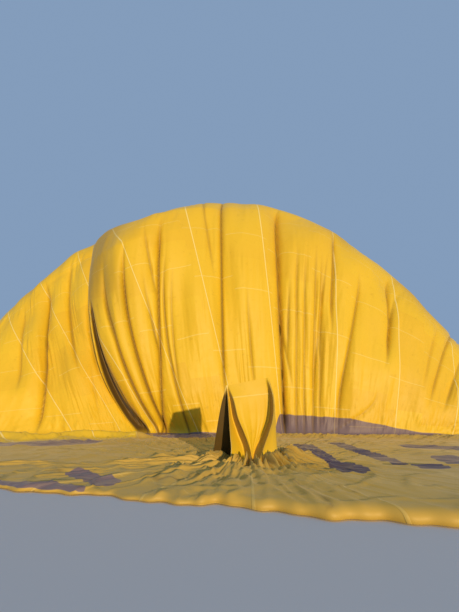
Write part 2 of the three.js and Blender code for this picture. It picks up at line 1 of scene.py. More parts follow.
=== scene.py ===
import math
import bpy
import numpy as np
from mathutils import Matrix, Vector


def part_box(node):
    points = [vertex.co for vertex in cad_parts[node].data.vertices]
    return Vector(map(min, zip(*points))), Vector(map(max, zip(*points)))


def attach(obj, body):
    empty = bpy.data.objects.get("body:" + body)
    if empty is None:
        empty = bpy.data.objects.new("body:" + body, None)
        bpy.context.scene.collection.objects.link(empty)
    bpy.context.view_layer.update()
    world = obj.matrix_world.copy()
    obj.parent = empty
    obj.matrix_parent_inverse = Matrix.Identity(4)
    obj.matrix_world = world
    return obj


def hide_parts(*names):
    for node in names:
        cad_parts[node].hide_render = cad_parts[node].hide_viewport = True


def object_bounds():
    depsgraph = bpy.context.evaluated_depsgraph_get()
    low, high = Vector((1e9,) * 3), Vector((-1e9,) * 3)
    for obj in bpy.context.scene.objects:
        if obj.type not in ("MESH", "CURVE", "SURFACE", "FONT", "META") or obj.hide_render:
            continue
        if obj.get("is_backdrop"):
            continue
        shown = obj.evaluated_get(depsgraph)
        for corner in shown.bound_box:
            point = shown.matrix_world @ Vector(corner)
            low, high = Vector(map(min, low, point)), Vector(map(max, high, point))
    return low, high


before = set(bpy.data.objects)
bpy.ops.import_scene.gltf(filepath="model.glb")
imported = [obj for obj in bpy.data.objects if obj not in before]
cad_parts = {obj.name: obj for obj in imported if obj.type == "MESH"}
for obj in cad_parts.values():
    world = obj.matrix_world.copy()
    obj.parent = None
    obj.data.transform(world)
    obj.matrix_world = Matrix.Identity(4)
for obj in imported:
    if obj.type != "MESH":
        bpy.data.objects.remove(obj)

cad_low, cad_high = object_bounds()

# Camera
# It stands at eye height in front of the collapsed crown, and looks a little up.
# The basket is upright behind the dome, and everything is measured from the camera's foot.
EYE_HEIGHT = 1.5
CAMERA_TO_BASKET = 29.3
PITCH = math.radians(10.2)
FOCAL_PIXELS = 460.0
PHOTO_WIDTH = 459
walls_low, walls_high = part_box("basket_walls")
basket_x = (walls_low.x + walls_high.x) / 2
basket_y = (walls_low.y + walls_high.y) / 2
ORIGIN = np.array([basket_x, basket_y - CAMERA_TO_BASKET, 0.0])

camera = bpy.data.objects.new("camera", bpy.data.cameras.new("camera"))
bpy.context.scene.collection.objects.link(camera)
camera.location = (ORIGIN[0], ORIGIN[1], EYE_HEIGHT)
camera.rotation_euler = (math.pi / 2 + PITCH, 0.0, 0.0)
camera.data.sensor_fit = "HORIZONTAL"
camera.data.lens = camera.data.sensor_width * FOCAL_PIXELS / PHOTO_WIDTH
camera.data.clip_end = 200.0
bpy.context.scene.camera = camera


# Floor and light
# A plain pale floor, a low warm key from behind the right shoulder, a soft fill, and a pale cool surround.
# Colours are shown as they are, because the cloth's yellow is purer than a filmic view can show.
bpy.context.scene.view_settings.view_transform = "Standard"


def plug(tree, socket, value):
    """Links a wire to a socket, or sets the socket's own value."""
    if isinstance(value, Wire):
        tree.links.new(value.socket, socket)
    elif isinstance(value, tuple) and socket.type == "RGBA":
        socket.default_value = (*value, 1.0)[:4]
    else:
        socket.default_value = value


class Wire:
    """An output socket that is added and multiplied like a number."""

    def __init__(self, tree, socket):
        self.tree = tree
        self.socket = socket

    def maths(self, operation, *values):
        node = self.tree.nodes.new("ShaderNodeMath")
        node.operation = operation
        for socket, value in zip(node.inputs, values):
            plug(self.tree, socket, value)
        return Wire(self.tree, node.outputs[0])

    def __add__(self, other):
        return self.maths("ADD", self, other)

    def __mul__(self, other):
        return self.maths("MULTIPLY", self, other)

    def __sub__(self, other):
        return self.maths("SUBTRACT", self, other)

    def __rsub__(self, other):
        return self.maths("SUBTRACT", other, self)

    def __truediv__(self, other):
        return self.maths("DIVIDE", self, other)

    def __abs__(self):
        return self.maths("ABSOLUTE", self)

    def fraction(self):
        return self.maths("FRACT", self)

    def whole(self):
        return self.maths("FLOOR", self)

    __radd__ = __add__
    __rmul__ = __mul__


class Finish:
    """A material: its shader, and the nodes that feed it."""

    def __init__(self, name, roughness=0.6, metallic=0.0, constants=()):
        self.material = bpy.data.materials.new(name)
        self.material.use_nodes = True
        self.tree = self.material.node_tree
        self.shader = self.tree.nodes["Principled BSDF"]
        self.shader.inputs["Roughness"].default_value = roughness
        self.shader.inputs["Metallic"].default_value = metallic
        for socket, value in dict(constants).items():
            plug(self.tree, self.shader.inputs[socket], value)

    def node(self, kind, settings, sockets, output=0):
        """Any node: its settings first, then its sockets by name or number."""
        node = self.tree.nodes.new("ShaderNode" + kind)
        for name, value in settings.items():
            setattr(node, name, value)
        for name, value in sockets.items():
            plug(self.tree, node.inputs[name], value)
        return Wire(self.tree, node.outputs[output])

    def place(self):
        return self.node("TexCoord", {}, {}, "Object")

    def part(self, vector, number):
        return self.node("SeparateXYZ", {}, {"Vector": vector}, number)

    def noise(self, scale, detail=2.0, where=None, stretch=(1, 1, 1)):
        """Noise over the object's own coordinates in metres, with scale in waves a metre."""
        where = where or self.place()
        if stretch != (1, 1, 1):
            where = self.node("Mapping", {}, {"Vector": where, "Scale": stretch})
        return self.node("TexNoise", {}, {"Vector": where, "Scale": scale, "Detail": detail})

    def step(self, value, low, high):
        """0 below low, 1 above high, and smooth between them."""
        return self.node("MapRange", {"interpolation_type": "SMOOTHSTEP"},
                         {"Value": value, "From Min": low, "From Max": high})

    def mix(self, a, b, factor):
        return self.node("Mix", {"data_type": "RGBA"}, {0: factor, 6: a, 7: b}, 2)

    def colour(self, value):
        plug(self.tree, self.shader.inputs["Base Color"], value)

    def rough(self, value):
        plug(self.tree, self.shader.inputs["Roughness"], value)

    def bump(self, height, distance):
        raised = self.node("Bump", {}, {"Height": height, "Distance": distance, "Strength": 1.0}, "Normal")
        plug(self.tree, self.shader.inputs["Normal"], raised)


def mesh_object(name, points, faces, finish, smooth=True):
    mesh = bpy.data.meshes.new(name)
    mesh.from_pydata([tuple(p) for p in points], [], [tuple(f) for f in faces])
    mesh.polygons.foreach_set("use_smooth", [smooth] * len(mesh.polygons))
    mesh.update()
    obj = bpy.data.objects.new(name, mesh)
    bpy.context.scene.collection.objects.link(obj)
    obj.data.materials.append(finish.material)
    return obj


FLOOR_HALF = 90.0
floor_finish = Finish("floor_pale", roughness=0.9)
floor_finish.colour((0.60, 0.60, 0.59))
floor_corners = [(x * FLOOR_HALF, y * FLOOR_HALF, 0) for x, y in ((-1, -1), (1, -1), (1, 1), (-1, 1))]
floor = mesh_object("floor", floor_corners, [(0, 1, 2, 3)], floor_finish)
floor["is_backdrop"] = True


def light(name, kind, energy, colour, toward):
    """A light that shines from a direction, as seen from the object."""
    made = bpy.data.objects.new(name, bpy.data.lights.new(name, kind))
    bpy.context.scene.collection.objects.link(made)
    made.data.energy = energy
    made.data.color = colour
    made.rotation_euler = Vector(toward).to_track_quat("Z", "Y").to_euler()
    return made


SUN_AZIMUTH, SUN_HEIGHT = math.radians(16.3), math.radians(7.5)
SUN_DISC = math.radians(0.7)
flat = math.cos(SUN_HEIGHT)
sunward = (math.sin(SUN_AZIMUTH) * flat, -math.cos(SUN_AZIMUTH) * flat, math.sin(SUN_HEIGHT))
light("key", "SUN", 3.2, (1.0, 0.75, 0.44), sunward).data.angle = SUN_DISC
fill = light("basket_fill", "AREA", 700.0, (1.0, 0.93, 0.82), (4.0, 9.0, 6.0))
fill.location = (basket_x + 4.0, basket_y + 9.0, 7.5)
fill.data.size = 9.0
world = bpy.data.worlds.new("studio")
bpy.context.scene.world = world
world.use_nodes = True
all_round = world.node_tree.nodes["Background"].inputs
all_round["Color"].default_value = (0.46, 0.67, 1.0, 1)
all_round["Strength"].default_value = 0.5


# Envelope: the form of the cloth
# Coated nylon in 20 gores of 2.8 m, sewn on load tapes that run from the crown to the mouth.
# Gores 0 to 12 stand up as the dome, and gores 12 to 20 fold under at the front and lie below it.
DOME_GORES = 12
UNDER_GORES = 8
GORES = DOME_GORES + UNDER_GORES
CREST_Y, MOUTH_Y = 18.5, 25.8
DOME_TOP_X, DOME_HEIGHT = 0.2, 9.15
LEFT_FULLNESS, RIGHT_FULLNESS = 0.72, 0.93
MOUTH_HALF_WIDTH, MOUTH_HEIGHT = 2.6, 3.3
LAYER = 0.0204
# Seams of the dome: x at the crest, x and y at the wall's foot, x and y halfway to the crown
DOME_SEAMS = np.array([
    (-11.2, -10.2, 14.2, -6.4, 9.0),
    (-9.9, -8.1, 15.0, -4.3, 11.9),
    (-8.7, -4.9, 15.1, -2.7, 12.2),
    (-7.6, -3.4, 15.1, -1.9, 12.2),
    (-6.25, -2.3, 15.1, -1.3, 12.3),
    (-4.4, -0.95, 15.1, -0.55, 12.3),
    (-1.83, 0.33, 15.1, 0.25, 12.3),
    (1.09, 1.7, 15.1, 1.1, 12.3),
    (4.1, 3.35, 15.1, 2.1, 12.3),
    (6.35, 5.25, 15.1, 3.2, 12.2),
    (8.2, 7.1, 15.1, 4.4, 12.0),
    (9.6, 8.7, 14.9, 5.9, 11.3),
    (10.6, 9.9, 14.2, 7.9, 6.9),
])
# Front edge at the seams that fold under, left to right: x and y
FRONT_EDGE = np.array([
    (-6.4, 9.0), (-4.7, 7.9), (-2.9, 7.15), (-1.2, 6.6), (0.3, 6.1),
    (2.0, 5.45), (3.9, 5.0), (6.0, 5.25), (7.9, 6.9),
])
CROWN = np.array([0.38, 9.05])
CROWN_RADII = np.array([0.46, 0.36])
CROWN_LIFT = 0.10
FRONT_AT = 0.5


def column(table, index, place):
    """A table's column at fractional rows, on a smooth curve through the rows."""
    row = np.clip(np.floor(place).astype(int), 0, len(table) - 2)
    t = place - row

    def at(k):
        return table[np.clip(k, 0, len(table) - 1), index]

    before = (at(row + 1) - at(row - 1)) / 2
    after = (at(row + 2) - at(row)) / 2
    return ((2 * t**3 - 3 * t**2 + 1) * at(row) + (t**3 - 2 * t**2 + t) * before
            + (3 * t**2 - 2 * t**3) * at(row + 1) + (t**3 - t**2) * after)


def mix(a, b, t):
    return a + (b - a) * t


def smooth(low, high, value):
    t = np.clip((value - low) / (high - low), 0, 1)
    return t * t * (3 - 2 * t)


def bell(value, middle, width):
    return np.exp(-(((value - middle) / width) ** 2))


def crest_height(x):
    left = x < DOME_TOP_X
    half = np.where(left, DOME_TOP_X - DOME_SEAMS[0, 0], DOME_SEAMS[-1, 0] - DOME_TOP_X)
    share = np.minimum(np.abs(x - DOME_TOP_X) / half, 1)
    return (DOME_HEIGHT - LAYER) * (1 - share**2) ** np.where(left, LEFT_FULLNESS, RIGHT_FULLNESS)


def crown_point(angle):
    return CROWN[0] + CROWN_RADII[0] * np.cos(angle), CROWN[1] + CROWN_RADII[1] * np.sin(angle)


def dome_form(place, along):
    """Smooth dome over the seams: 0 to 1 over the ground, 1 to 2 up the wall, 2 to 3 to the mouth."""
    crest_x, foot_x, foot_y, half_x, half_y = (column(DOME_SEAMS, k, place) for k in range(5))
    side = math.pi * place / DOME_GORES
    crown_x, crown_y = crown_point(math.pi - side)
    foot_z = LAYER + 0.04 * np.sin(side)
    crest_z = LAYER + crest_height(crest_x)
    near = np.clip(along * 2, 0, 1)
    far = np.clip(along * 2 - 1, 0, 1)
    ground = np.stack([
        mix(mix(crown_x, half_x, near), foot_x, far),
        mix(mix(crown_y, half_y, near), foot_y, far),
        mix(LAYER + mix(CROWN_LIFT, 0.12 * np.sin(side), near), foot_z, far),
    ], -1)
    turn = np.clip(along - 1, 0, 1) * math.pi / 2
    wall = np.stack([
        mix(foot_x, crest_x, np.sin(turn)),
        mix(foot_y, CREST_Y, 1 - np.cos(turn)),
        mix(foot_z, crest_z, np.sin(turn)),
    ], -1)
    back = np.clip(along - 2, 0, 1)
    rear = np.stack([
        mix(crest_x, -MOUTH_HALF_WIDTH * np.cos(side), back**1.5),
        mix(CREST_Y, MOUTH_Y, back) + 0 * side,
        mix(crest_z, LAYER + (MOUTH_HEIGHT - LAYER) * np.sin(side), back**1.7),
    ], -1)
    part = along[..., None] + 0 * ground
    return np.where(part <= 1, ground, np.where(part <= 2, wall, rear))


def under_form(place, along):
    """Cloth of the gores that fold under: out over the ground to the front edge, then back below."""
    across = GORES - place
    share = across / UNDER_GORES
    front_x, front_y = column(FRONT_EDGE, 0, across), column(FRONT_EDGE, 1, across)
    wavy = 0.08 * np.sin(5.1 * across + 1) + 0.05 * np.sin(11.7 * across + 2) + 0.03 * np.sin(26.0 * across)
    front_y = front_y + wavy * np.sin(math.pi * share) ** 0.5
    crown_x, crown_y = crown_point(math.pi * (1 + share))
    out = np.clip(along / FRONT_AT, 0, 1)
    nose = mix(0.05, 0.17, smooth(0.35, 0.75, share))
    nose = nose * np.sqrt(np.clip(1 - (np.clip(out - 0.93, 0, 1) / 0.07) ** 2, 0, 1))
    top = np.stack([
        mix(crown_x, front_x, out),
        mix(crown_y, front_y, out),
        LAYER + nose * smooth(0, 0.5, out) + (1 - out) ** 2 * CROWN_LIFT,
    ], -1)
    left = dome_form(0 * place, np.maximum(along, FRONT_AT))
    right = dome_form(0 * place + DOME_GORES, np.maximum(along, FRONT_AT))
    bow = np.clip((3 - along) / (3 - FRONT_AT), 0, 1) ** 3
    below = mix(left, right, share[..., None])
    below[..., 0] += bow * (front_x - mix(FRONT_EDGE[0, 0], FRONT_EDGE[-1, 0], share))
    below[..., 1] += bow * (front_y - mix(FRONT_EDGE[0, 1], FRONT_EDGE[-1, 1], share))
    below[..., 2] = mix(0.006, LAYER, np.abs(2 * share - 1) ** 8)
    return np.where(along[..., None] <= FRONT_AT, top, below)


# Grid of the cloth: columns run across the gores all the way round, rows from the crown to the mouth
DOME_COLUMNS, UNDER_COLUMNS = 60, 44
GROUND_ROWS, WALL_ROWS, BACK_ROWS = 140, 150, 81
places = np.concatenate([
    np.arange(DOME_GORES * DOME_COLUMNS) / DOME_COLUMNS,
    DOME_GORES + np.arange(UNDER_GORES * UNDER_COLUMNS) / UNDER_COLUMNS,
])
alongs = np.concatenate([
    np.linspace(0, 1, GROUND_ROWS, endpoint=False),
    np.linspace(1, 2, WALL_ROWS, endpoint=False),
    np.linspace(2, 3, BACK_ROWS),
])
STRIDE = 1
all_rows = len(alongs)
places = places[::STRIDE]
alongs = alongs[::STRIDE]
DOME_COLUMNS //= STRIDE
UNDER_COLUMNS //= STRIDE
PLACE, ALONG = np.meshgrid(places, alongs)
on_dome = PLACE <= DOME_GORES
form = np.where(
    on_dome[..., None],
    dome_form(np.minimum(PLACE, DOME_GORES), ALONG),
    under_form(np.maximum(PLACE, DOME_GORES), ALONG),
)
above = on_dome | (ALONG < FRONT_AT)


def normals_of(points):
    along_u = np.roll(points, -1, 1) - np.roll(points, 1, 1)
    along_v = np.gradient(points, axis=0)
    normal = np.cross(along_u, along_v)
    return normal / np.maximum(np.linalg.norm(normal, axis=-1, keepdims=True), 1e-9)


# Folds in the wall
# The slack of the half-empty cloth hangs in long folds, drawn together where it is trapped at the foot.

# Each fold is a valley: points down the wall as gore place and height 1 to 2, sharp and soft depth
FOLDS = [
    ([(2.40, 1.69), (1.97, 1.45), (1.68, 1.25)], 0.05, 0.12),
    ([(3.08, 1.75), (2.68, 1.51), (2.22, 1.33), (1.85, 1.16), (1.62, 1.03)], 0.10, 0.20),
    ([(3.75, 1.77), (3.42, 1.57), (3.12, 1.40), (2.93, 1.27)], 0.07, 0.12),
    ([(3.95, 1.52), (3.65, 1.40), (3.40, 1.29), (3.27, 1.21)], 0.05, 0.08),
    ([(3.12, 1.22), (2.78, 1.10)], 0.04, 0.05),
    ([(3.88, 1.40), (3.47, 1.30), (3.33, 1.18), (3.33, 1.09), (3.70, 1.00)], 0.03, 0.03),
    ([(4.60, 1.52), (4.30, 1.34), (4.12, 1.22), (4.07, 1.10), (4.03, 1.00)], 0.13, 0.10),
    ([(3.85, 1.26), (3.75, 1.12), (3.72, 1.00)], 0.10, 0.05),
    ([(4.95, 1.55), (4.57, 1.31), (4.43, 1.21), (4.32, 1.10), (4.22, 1.00)], 0.15, 0.12),
    ([(5.08, 1.40), (4.87, 1.21)], 0.08, 0.04),
    ([(5.62, 1.66), (5.25, 1.39), (4.87, 1.21), (4.35, 1.06), (4.12, 1.00)], 0.15, 0.12),
    ([(5.38, 1.63), (5.22, 1.39)], 0.06, 0.05),
    ([(5.48, 1.46), (5.05, 1.20), (4.78, 1.00)], 0.08, 0.05),
    ([(5.53, 1.41), (5.02, 1.13)], 0.05, 0.03),
    ([(6.27, 1.95), (6.25, 1.76), (6.20, 1.44)], 0.05, 0.04),
    ([(6.55, 1.95), (6.48, 1.74), (6.23, 1.33), (5.90, 1.10)], 0.10, 0.12),
    ([(6.65, 1.33), (6.53, 1.12)], 0.06, 0.03),
    ([(7.30, 1.87), (7.20, 1.47), (7.15, 1.30), (7.12, 1.14), (7.07, 1.00)], 0.18, 0.22),
    ([(7.32, 1.38), (7.23, 1.20)], 0.08, 0.04),
    ([(7.13, 1.28), (7.25, 1.13)], 0.06, 0.03),
    ([(7.47, 1.55), (7.40, 1.30), (7.30, 1.00)], 0.05, 0.06),
    ([(7.57, 1.51), (7.45, 1.00)], 0.05, 0.06),
    ([(7.72, 1.55), (7.62, 1.00)], 0.06, 0.07),
    ([(7.80, 1.53), (7.73, 1.02)], 0.05, 0.05),
    ([(7.88, 1.55), (7.73, 1.26), (7.63, 1.09)], 0.05, 0.06),
    ([(8.00, 1.77), (8.00, 1.71), (7.97, 1.53), (7.93, 1.31)], 0.08, 0.12),
    ([(8.37, 1.54), (8.22, 1.28), (8.10, 1.14), (8.05, 1.03)], 0.07, 0.12),
    ([(8.95, 1.71), (8.93, 1.68), (8.88, 1.45), (8.80, 1.25)], 0.08, 0.14),
    ([(8.98, 1.56), (8.82, 1.29)], 0.05, 0.04),
    ([(8.60, 1.09), (8.30, 1.04), (7.87, 1.00)], 0.08, 0.04),
    ([(10.27, 1.90), (9.55, 1.15)], 0.06, 0.05),
    ([(10.60, 1.88), (9.80, 1.13)], 0.05, 0.04),
    ([(9.70, 1.55), (9.42, 1.21)], 0.03, 0.04),
]
SHARP_WIDTH, SOFT_WIDTH = 0.044, 0.36
SHARP_DEPTH, SOFT_DEPTH = 1.8, 1.5
# Painted shade along each crease: its half width, and the sharp depth at which it is darkest
CREASE_WIDTH, CREASE_FULL = 0.028, 0.10
# The great fold left of the middle: the wall to its right bellies out, and to its left it sinks in.
# From the foot of the wall to the crest: height 1 to 2, gore place, depth, width of the flank
GREAT_FOLD = np.array([
    (1.0, 3.40, 0.0, 0.50),
    (1.05, 3.28, 0.45, 0.60),
    (1.1, 3.25, 0.75, 0.70),
    (1.25, 3.50, 1.10, 0.80),
    (1.35, 3.70, 1.35, 0.95),
    (1.6, 4.16, 1.90, 1.4),
    (1.75, 4.36, 1.75, 1.9),
    (1.88, 4.50, 0.65, 2.3),
    (1.95, 4.56, 0.10, 2.4),
    (2.0, 4.6, 0.0, 2.4),
])
SINKING_SHARE, SINKING_REACH, BELLY_REACH = 0.35, 2.2, 3.0
# The crest sags to the right of the great fold and rises to its left, both a little:
# gore place and height of the middle, their half widths, and depth
CREST_SAGS = (
    (5.58, 1.84, 0.42, 0.20, 0.22),
    (3.85, 1.95, 0.38, 0.15, -0.20),
    (9.45, 1.74, 0.25, 0.18, -0.12),
)
HIDDEN_FLANK = 0.36
# Painted shade on the great fold's flank, and painted shade and shadow in its dark valley
FLANK_SHADE, VALLEY_SHADE = 0.52, 1.22
# Deep dark valley along the foot of the great fold: height, gore place, half width, depth
DARK_VALLEY = np.array([
    (1.00, 3.68, 0.19, 0.30),
    (1.07, 3.55, 0.19, 0.50),
    (1.15, 3.58, 0.17, 0.55),
    (1.25, 3.78, 0.14, 0.50),
    (1.35, 3.98, 0.10, 0.35),
    (1.46, 4.16, 0.04, 0.0),
])
# Patches of painted shade, as of cloth turned from the sun: gore place and height of its middle, their half
# widths, and how much
PAINTED_TURN_SHADE = (
    (5.4, 1.98, 1.9, 0.10, 0.34),
    (9.45, 1.74, 0.42, 0.15, 0.30),
    (8.12, 1.80, 0.20, 0.14, 0.30),
    (4.62, 1.50, 0.22, 0.17, 0.30),
    (2.2, 1.95, 1.4, 0.12, 0.22),
)

gore_span = np.linalg.norm(np.roll(form, -1, 1) - np.roll(form, 1, 1), axis=-1)
gore_span /= 2 / np.where(on_dome, DOME_COLUMNS, UNDER_COLUMNS)


def line_distance(line):
    """Distance across the gores from a fold's curve in metres, positive to its right."""
    line = np.array(line)
    curve = np.polyfit(line[:, 1], line[:, 0], min(3, len(line) - 1))
    return (PLACE - np.polyval(curve, np.clip(ALONG, line[-1, 1] - 0.05, line[0, 1] + 0.05))) * gore_span


def valleys():
    """Depth of the folds in metres, and the painted shade along their creases."""
    depth, painted_shade = np.zeros_like(PLACE), np.zeros_like(PLACE)
    for line, sharp, soft in FOLDS:
        top, foot = line[0][1], line[-1][1]
        fade = 1 - smooth(top - 0.14, top + 0.08, ALONG)
        fade *= 1.0 * (ALONG >= 0.9) if foot <= 1.0 else smooth(foot - 0.06, foot + 0.08, ALONG)
        away = np.hypot(line_distance(line), 0.010)
        depth += fade * (SHARP_DEPTH * sharp * np.exp(-away / SHARP_WIDTH)
                         + SOFT_DEPTH * soft * np.exp(-away / SOFT_WIDTH))
        # Painted shade along the crease line, darker for sharper folds
        painted_shade = np.maximum(painted_shade, fade * min(sharp / CREASE_FULL, 1) * bell(away, 0.010, CREASE_WIDTH))
    on_wall = smooth(0.93, 1.01, ALONG) * on_dome
    return depth * on_wall, painted_shade * on_wall


rng = np.random.default_rng(7)
ROW_STEP = 0.065
PLACE_STEP = 0.02
GORE_METRES = 2.0
noise_places = np.arange(-3.0, 21.0, PLACE_STEP)
LEAN = np.array([(0, 2.0), (2, 1.9), (4, 1.4), (5.5, 1.7), (6.5, 0.8), (7.3, 0.25), (8.3, 0.35),
                 (10, 0.85), (12, 1.0)])
height = np.clip(ALONG - 1, 0, 1)
leaning = PLACE - np.where(on_dome, np.interp(PLACE, LEAN[:, 0], LEAN[:, 1]), 0) * height


def band_noise(shape, steps, lengths):
    """Random field with unit spread, with waves of about the given lengths down and across."""
    field = np.fft.rfft2(rng.standard_normal(shape))
    down = np.fft.fftfreq(shape[0], steps[0])[:, None] * lengths[0]
    across = np.fft.rfftfreq(shape[1], steps[1])[None] * lengths[1]
    field *= np.exp(-((np.log2(np.maximum(np.hypot(down, across), 1e-3)) / 0.9) ** 2))
    result = np.fft.irfft2(field, shape)
    return result / result.std()


def hanging_noise(down, across):
    """Noise in metres that follows the lean of the folds."""
    field = band_noise((all_rows, len(noise_places)), (ROW_STEP, PLACE_STEP * GORE_METRES), (down, across))
    field = field[::STRIDE]
    result = np.stack([np.interp(q, noise_places, row) for q, row in zip(leaning, field)])
    wrapped = np.stack([np.interp(q - GORES, noise_places, row) for q, row in zip(leaning, field)])
    return mix(result, wrapped, smooth(19.4, 20.0, PLACE))


GROUND_STEP = 0.05
GROUND_LOW = np.array([-12.0, 4.0])
GROUND_CELLS = (480, 480)


def ground_noise(length):
    """Noise in metres over the floor, for cloth that lies on it."""
    field = band_noise(GROUND_CELLS, (GROUND_STEP, GROUND_STEP), (length, length))
    at = (form[..., :2] - GROUND_LOW) / GROUND_STEP
    at = np.clip(at, 0, np.array(GROUND_CELLS) - 1.001)
    i, j = at[..., 0].astype(int), at[..., 1].astype(int)
    s, t = at[..., 0] - i, at[..., 1] - j
    return mix(mix(field[i, j], field[i + 1, j], s), mix(field[i, j + 1], field[i + 1, j + 1], s), t)


def ridged(field):
    """Round lobes with sharp valleys between them."""
    return np.sqrt(field**2 + 0.02) - 0.8


def ridges(field, length, width):
    """Long raised tucks of cloth along the zero lines of noise of the given wavelength."""
    return np.exp(-((field * length / (2 * math.pi * width)) ** 2))


# Depth of the folds over the wall and the back
wall_part = smooth(0.97, 1.03, ALONG) * on_dome
edge_part = smooth(0.0, 0.25, PLACE) * smooth(12.0, 11.75, PLACE)
crest_calm = 1 - 0.93 * bell(ALONG, 2.0, 0.17)
back_part = smooth(2.0, 2.3, ALONG)
patches = smooth(-0.3, 1.3, hanging_noise(3.0, 2.2))
foot_part = bell(ALONG, 1.0, 0.08)
gathered = bell(PLACE - 0.3 * height, 7.55, 0.45) * bell(ALONG, 1.25, 0.30)
slack = 1 + 2.2 * bell(PLACE, 3.0, 1.3)
fine = 1 + 1.4 * bell(PLACE, 1.8, 1.3) + 1.0 * bell(PLACE, 10.3, 0.9)
push = 0.045 * hanging_noise(6.0, 1.9)
# Wrinkles: how deep in metres, and their wavelengths down and across
for deep, down, across in (
    (0.004 + 0.012 * patches + 0.055 * back_part * slack, 6.0, 0.5),
    ((0.002 + 0.007 * patches) * fine, 4.0, 0.22),
    (0.030 * gathered, 5.0, 0.26),
    (0.022 * foot_part, 0.8, 0.22),
):
    push += deep * ridged(hanging_noise(down, across))
push += 0.0015 * hanging_noise(0.5, 0.12)
push *= crest_calm
valley_depth, painted_shade = valleys()
push -= valley_depth * crest_calm
push *= wall_part * edge_part * smooth(3.0, 2.93, ALONG)

# The great fold
place = np.polyval(np.polyfit(GREAT_FOLD[:, 0], GREAT_FOLD[:, 1], 4), np.clip(ALONG, 1, 2))
depth, width = (np.interp(ALONG, GREAT_FOLD[:, 0], GREAT_FOLD[:, k]) for k in (2, 3))
up_wall = np.sin(np.clip(ALONG - 1, 0, 1) * math.pi / 2)
away = form[..., 0] - mix(column(DOME_SEAMS, 1, place), column(DOME_SEAMS, 0, place), up_wall)
flank_share = np.clip(away / width, 0, 1)
hidden = HIDDEN_FLANK * smooth(0, 0.10, flank_share) * (1 - flank_share)
flank = mix(1 - (1 - flank_share) ** 1.35, 1.0, hidden)
# Painted shade on the flank of the great fold, where it turns from the sun
painted_shade = np.maximum(painted_shade, FLANK_SHADE * smooth(0.0, 0.15, flank_share) * smooth(1.0, 0.55, flank_share)
                    * smooth(1.30, 1.50, ALONG) * smooth(2.01, 1.93, ALONG) * on_dome)
place = np.polyval(np.polyfit(DARK_VALLEY[:, 0], DARK_VALLEY[:, 1], 3), np.clip(ALONG, 1.0, 1.46))
half_width, dark_depth = (np.interp(ALONG, DARK_VALLEY[:, 0], DARK_VALLEY[:, k]) for k in (2, 3))
beside = np.abs(PLACE - place) * gore_span / half_width
dark = smooth(0.99, 1.02, ALONG) * smooth(1.46, 1.40, ALONG) * on_dome
# Painted shade in the dark valley at the fold's foot, deeper painted shadow where it passes 1
painted_shade = np.maximum(painted_shade, VALLEY_SHADE * dark * smooth(1.25, 0.85, beside))
# Patches of painted shade on the wall, as of cloth turned from the sun
for middle, level, half_width, half_height, amount in PAINTED_TURN_SHADE:
    turned = amount * bell(PLACE, middle, half_width) * bell(ALONG, level, half_height)
    painted_shade = np.maximum(painted_shade, turned * (ALONG < 2.2) * on_dome)
sunk = (1 - flank) * bell(np.minimum(away, 0), 0, SINKING_REACH)
bellied = flank * bell(np.maximum(away - width, 0), 0, BELLY_REACH)
great_push = depth * (SINKING_SHARE * sunk - (1 - SINKING_SHARE) * bellied) * on_dome
overhang = 0.16 * depth * np.sin(math.pi * np.clip(away / width, 0, 1)) * on_dome

# Cloth on the ground, heaped and creased round the crown, in long folds toward the front edge
flat_part = np.where(on_dome, smooth(1.0, 0.96, ALONG), smooth(FRONT_AT, FRONT_AT * 0.97, ALONG))
flat_part *= smooth(0.0, 0.02, ALONG)
from_crown = np.hypot(*np.moveaxis(form[..., :2] - CROWN, -1, 0))
close = np.exp(-np.maximum(from_crown - 0.9, 0) / 0.75)
right_side = smooth(-0.5, 1.5, form[..., 0])
uneven = smooth(-0.8, 1.2, ground_noise(2.6))
rise = 0.030 * smooth(-1.0, 2.0, ground_noise(2.2))
# Tucks: their lines, wavelength and width, and how high they stand in metres
for lines, length, width, high in (
    (hanging_noise(7.0, 1.3), 1.3, 0.10, (0.035 + 0.12 * close) * (0.4 + 0.6 * uneven)),
    (hanging_noise(3.5, 0.8), 0.8, 0.055, (0.022 + 0.05 * close) * uneven),
    (ground_noise(1.7), 1.7, 0.085, (0.030 + 0.07 * close) * (1 - 0.6 * uneven)),
    (ground_noise(0.9), 0.9, 0.05, (0.014 + 0.05 * close) * uneven),
):
    rise += high * ridges(lines, length, width)
rise += 0.09 * close * smooth(-1.0, 1.5, ground_noise(0.7))
rise += 0.0025 * ground_noise(0.2)
berm = bell(ALONG, 0.85, 0.06) * on_dome * (0.02 + 0.06 * right_side)
heaps = 0.5 + smooth(-1.5, 1.5, hanging_noise(0.8, 1.2))
rise += berm * (heaps + 0.8 * ridges(hanging_noise(0.7, 0.5), 0.5, 0.05))
rise *= flat_part * (1 - 0.45 * right_side * (1 - close))
# Left of the great fold the wall's slack lies before its foot as a low roll
ROLL_AHEAD, ROLL_HALF_WIDTH, ROLL_HEIGHT = 1.15, 0.15, 0.21
before_foot = form[np.argmin(np.abs(alongs - 1)), :, 1] - form[..., 1]
roll_place = ROLL_AHEAD + 0.10 * np.sin(1.9 * form[..., 0]) + 0.06 * np.sin(4.3 * form[..., 0] + 1)
roll = bell(before_foot, roll_place, ROLL_HALF_WIDTH) * (0.85 + 0.15 * np.sin(2.7 * form[..., 0]))
rise += ROLL_HEIGHT * roll * smooth(0.0, 0.3, PLACE) * smooth(3.7, 3.0, PLACE) * on_dome * (ALONG < 1)
# Thin lines of painted shade, as of fine creases, over the cloth on the floor, more near the crown
painted_shade = np.maximum(painted_shade, 0.7 * ridges(hanging_noise(6.0, 1.1), 1.1, 0.012) * flat_part * uneven)
painted_shade = np.maximum(painted_shade, 0.7 * ridges(ground_noise(1.3), 1.3, 0.012) * flat_part * close)

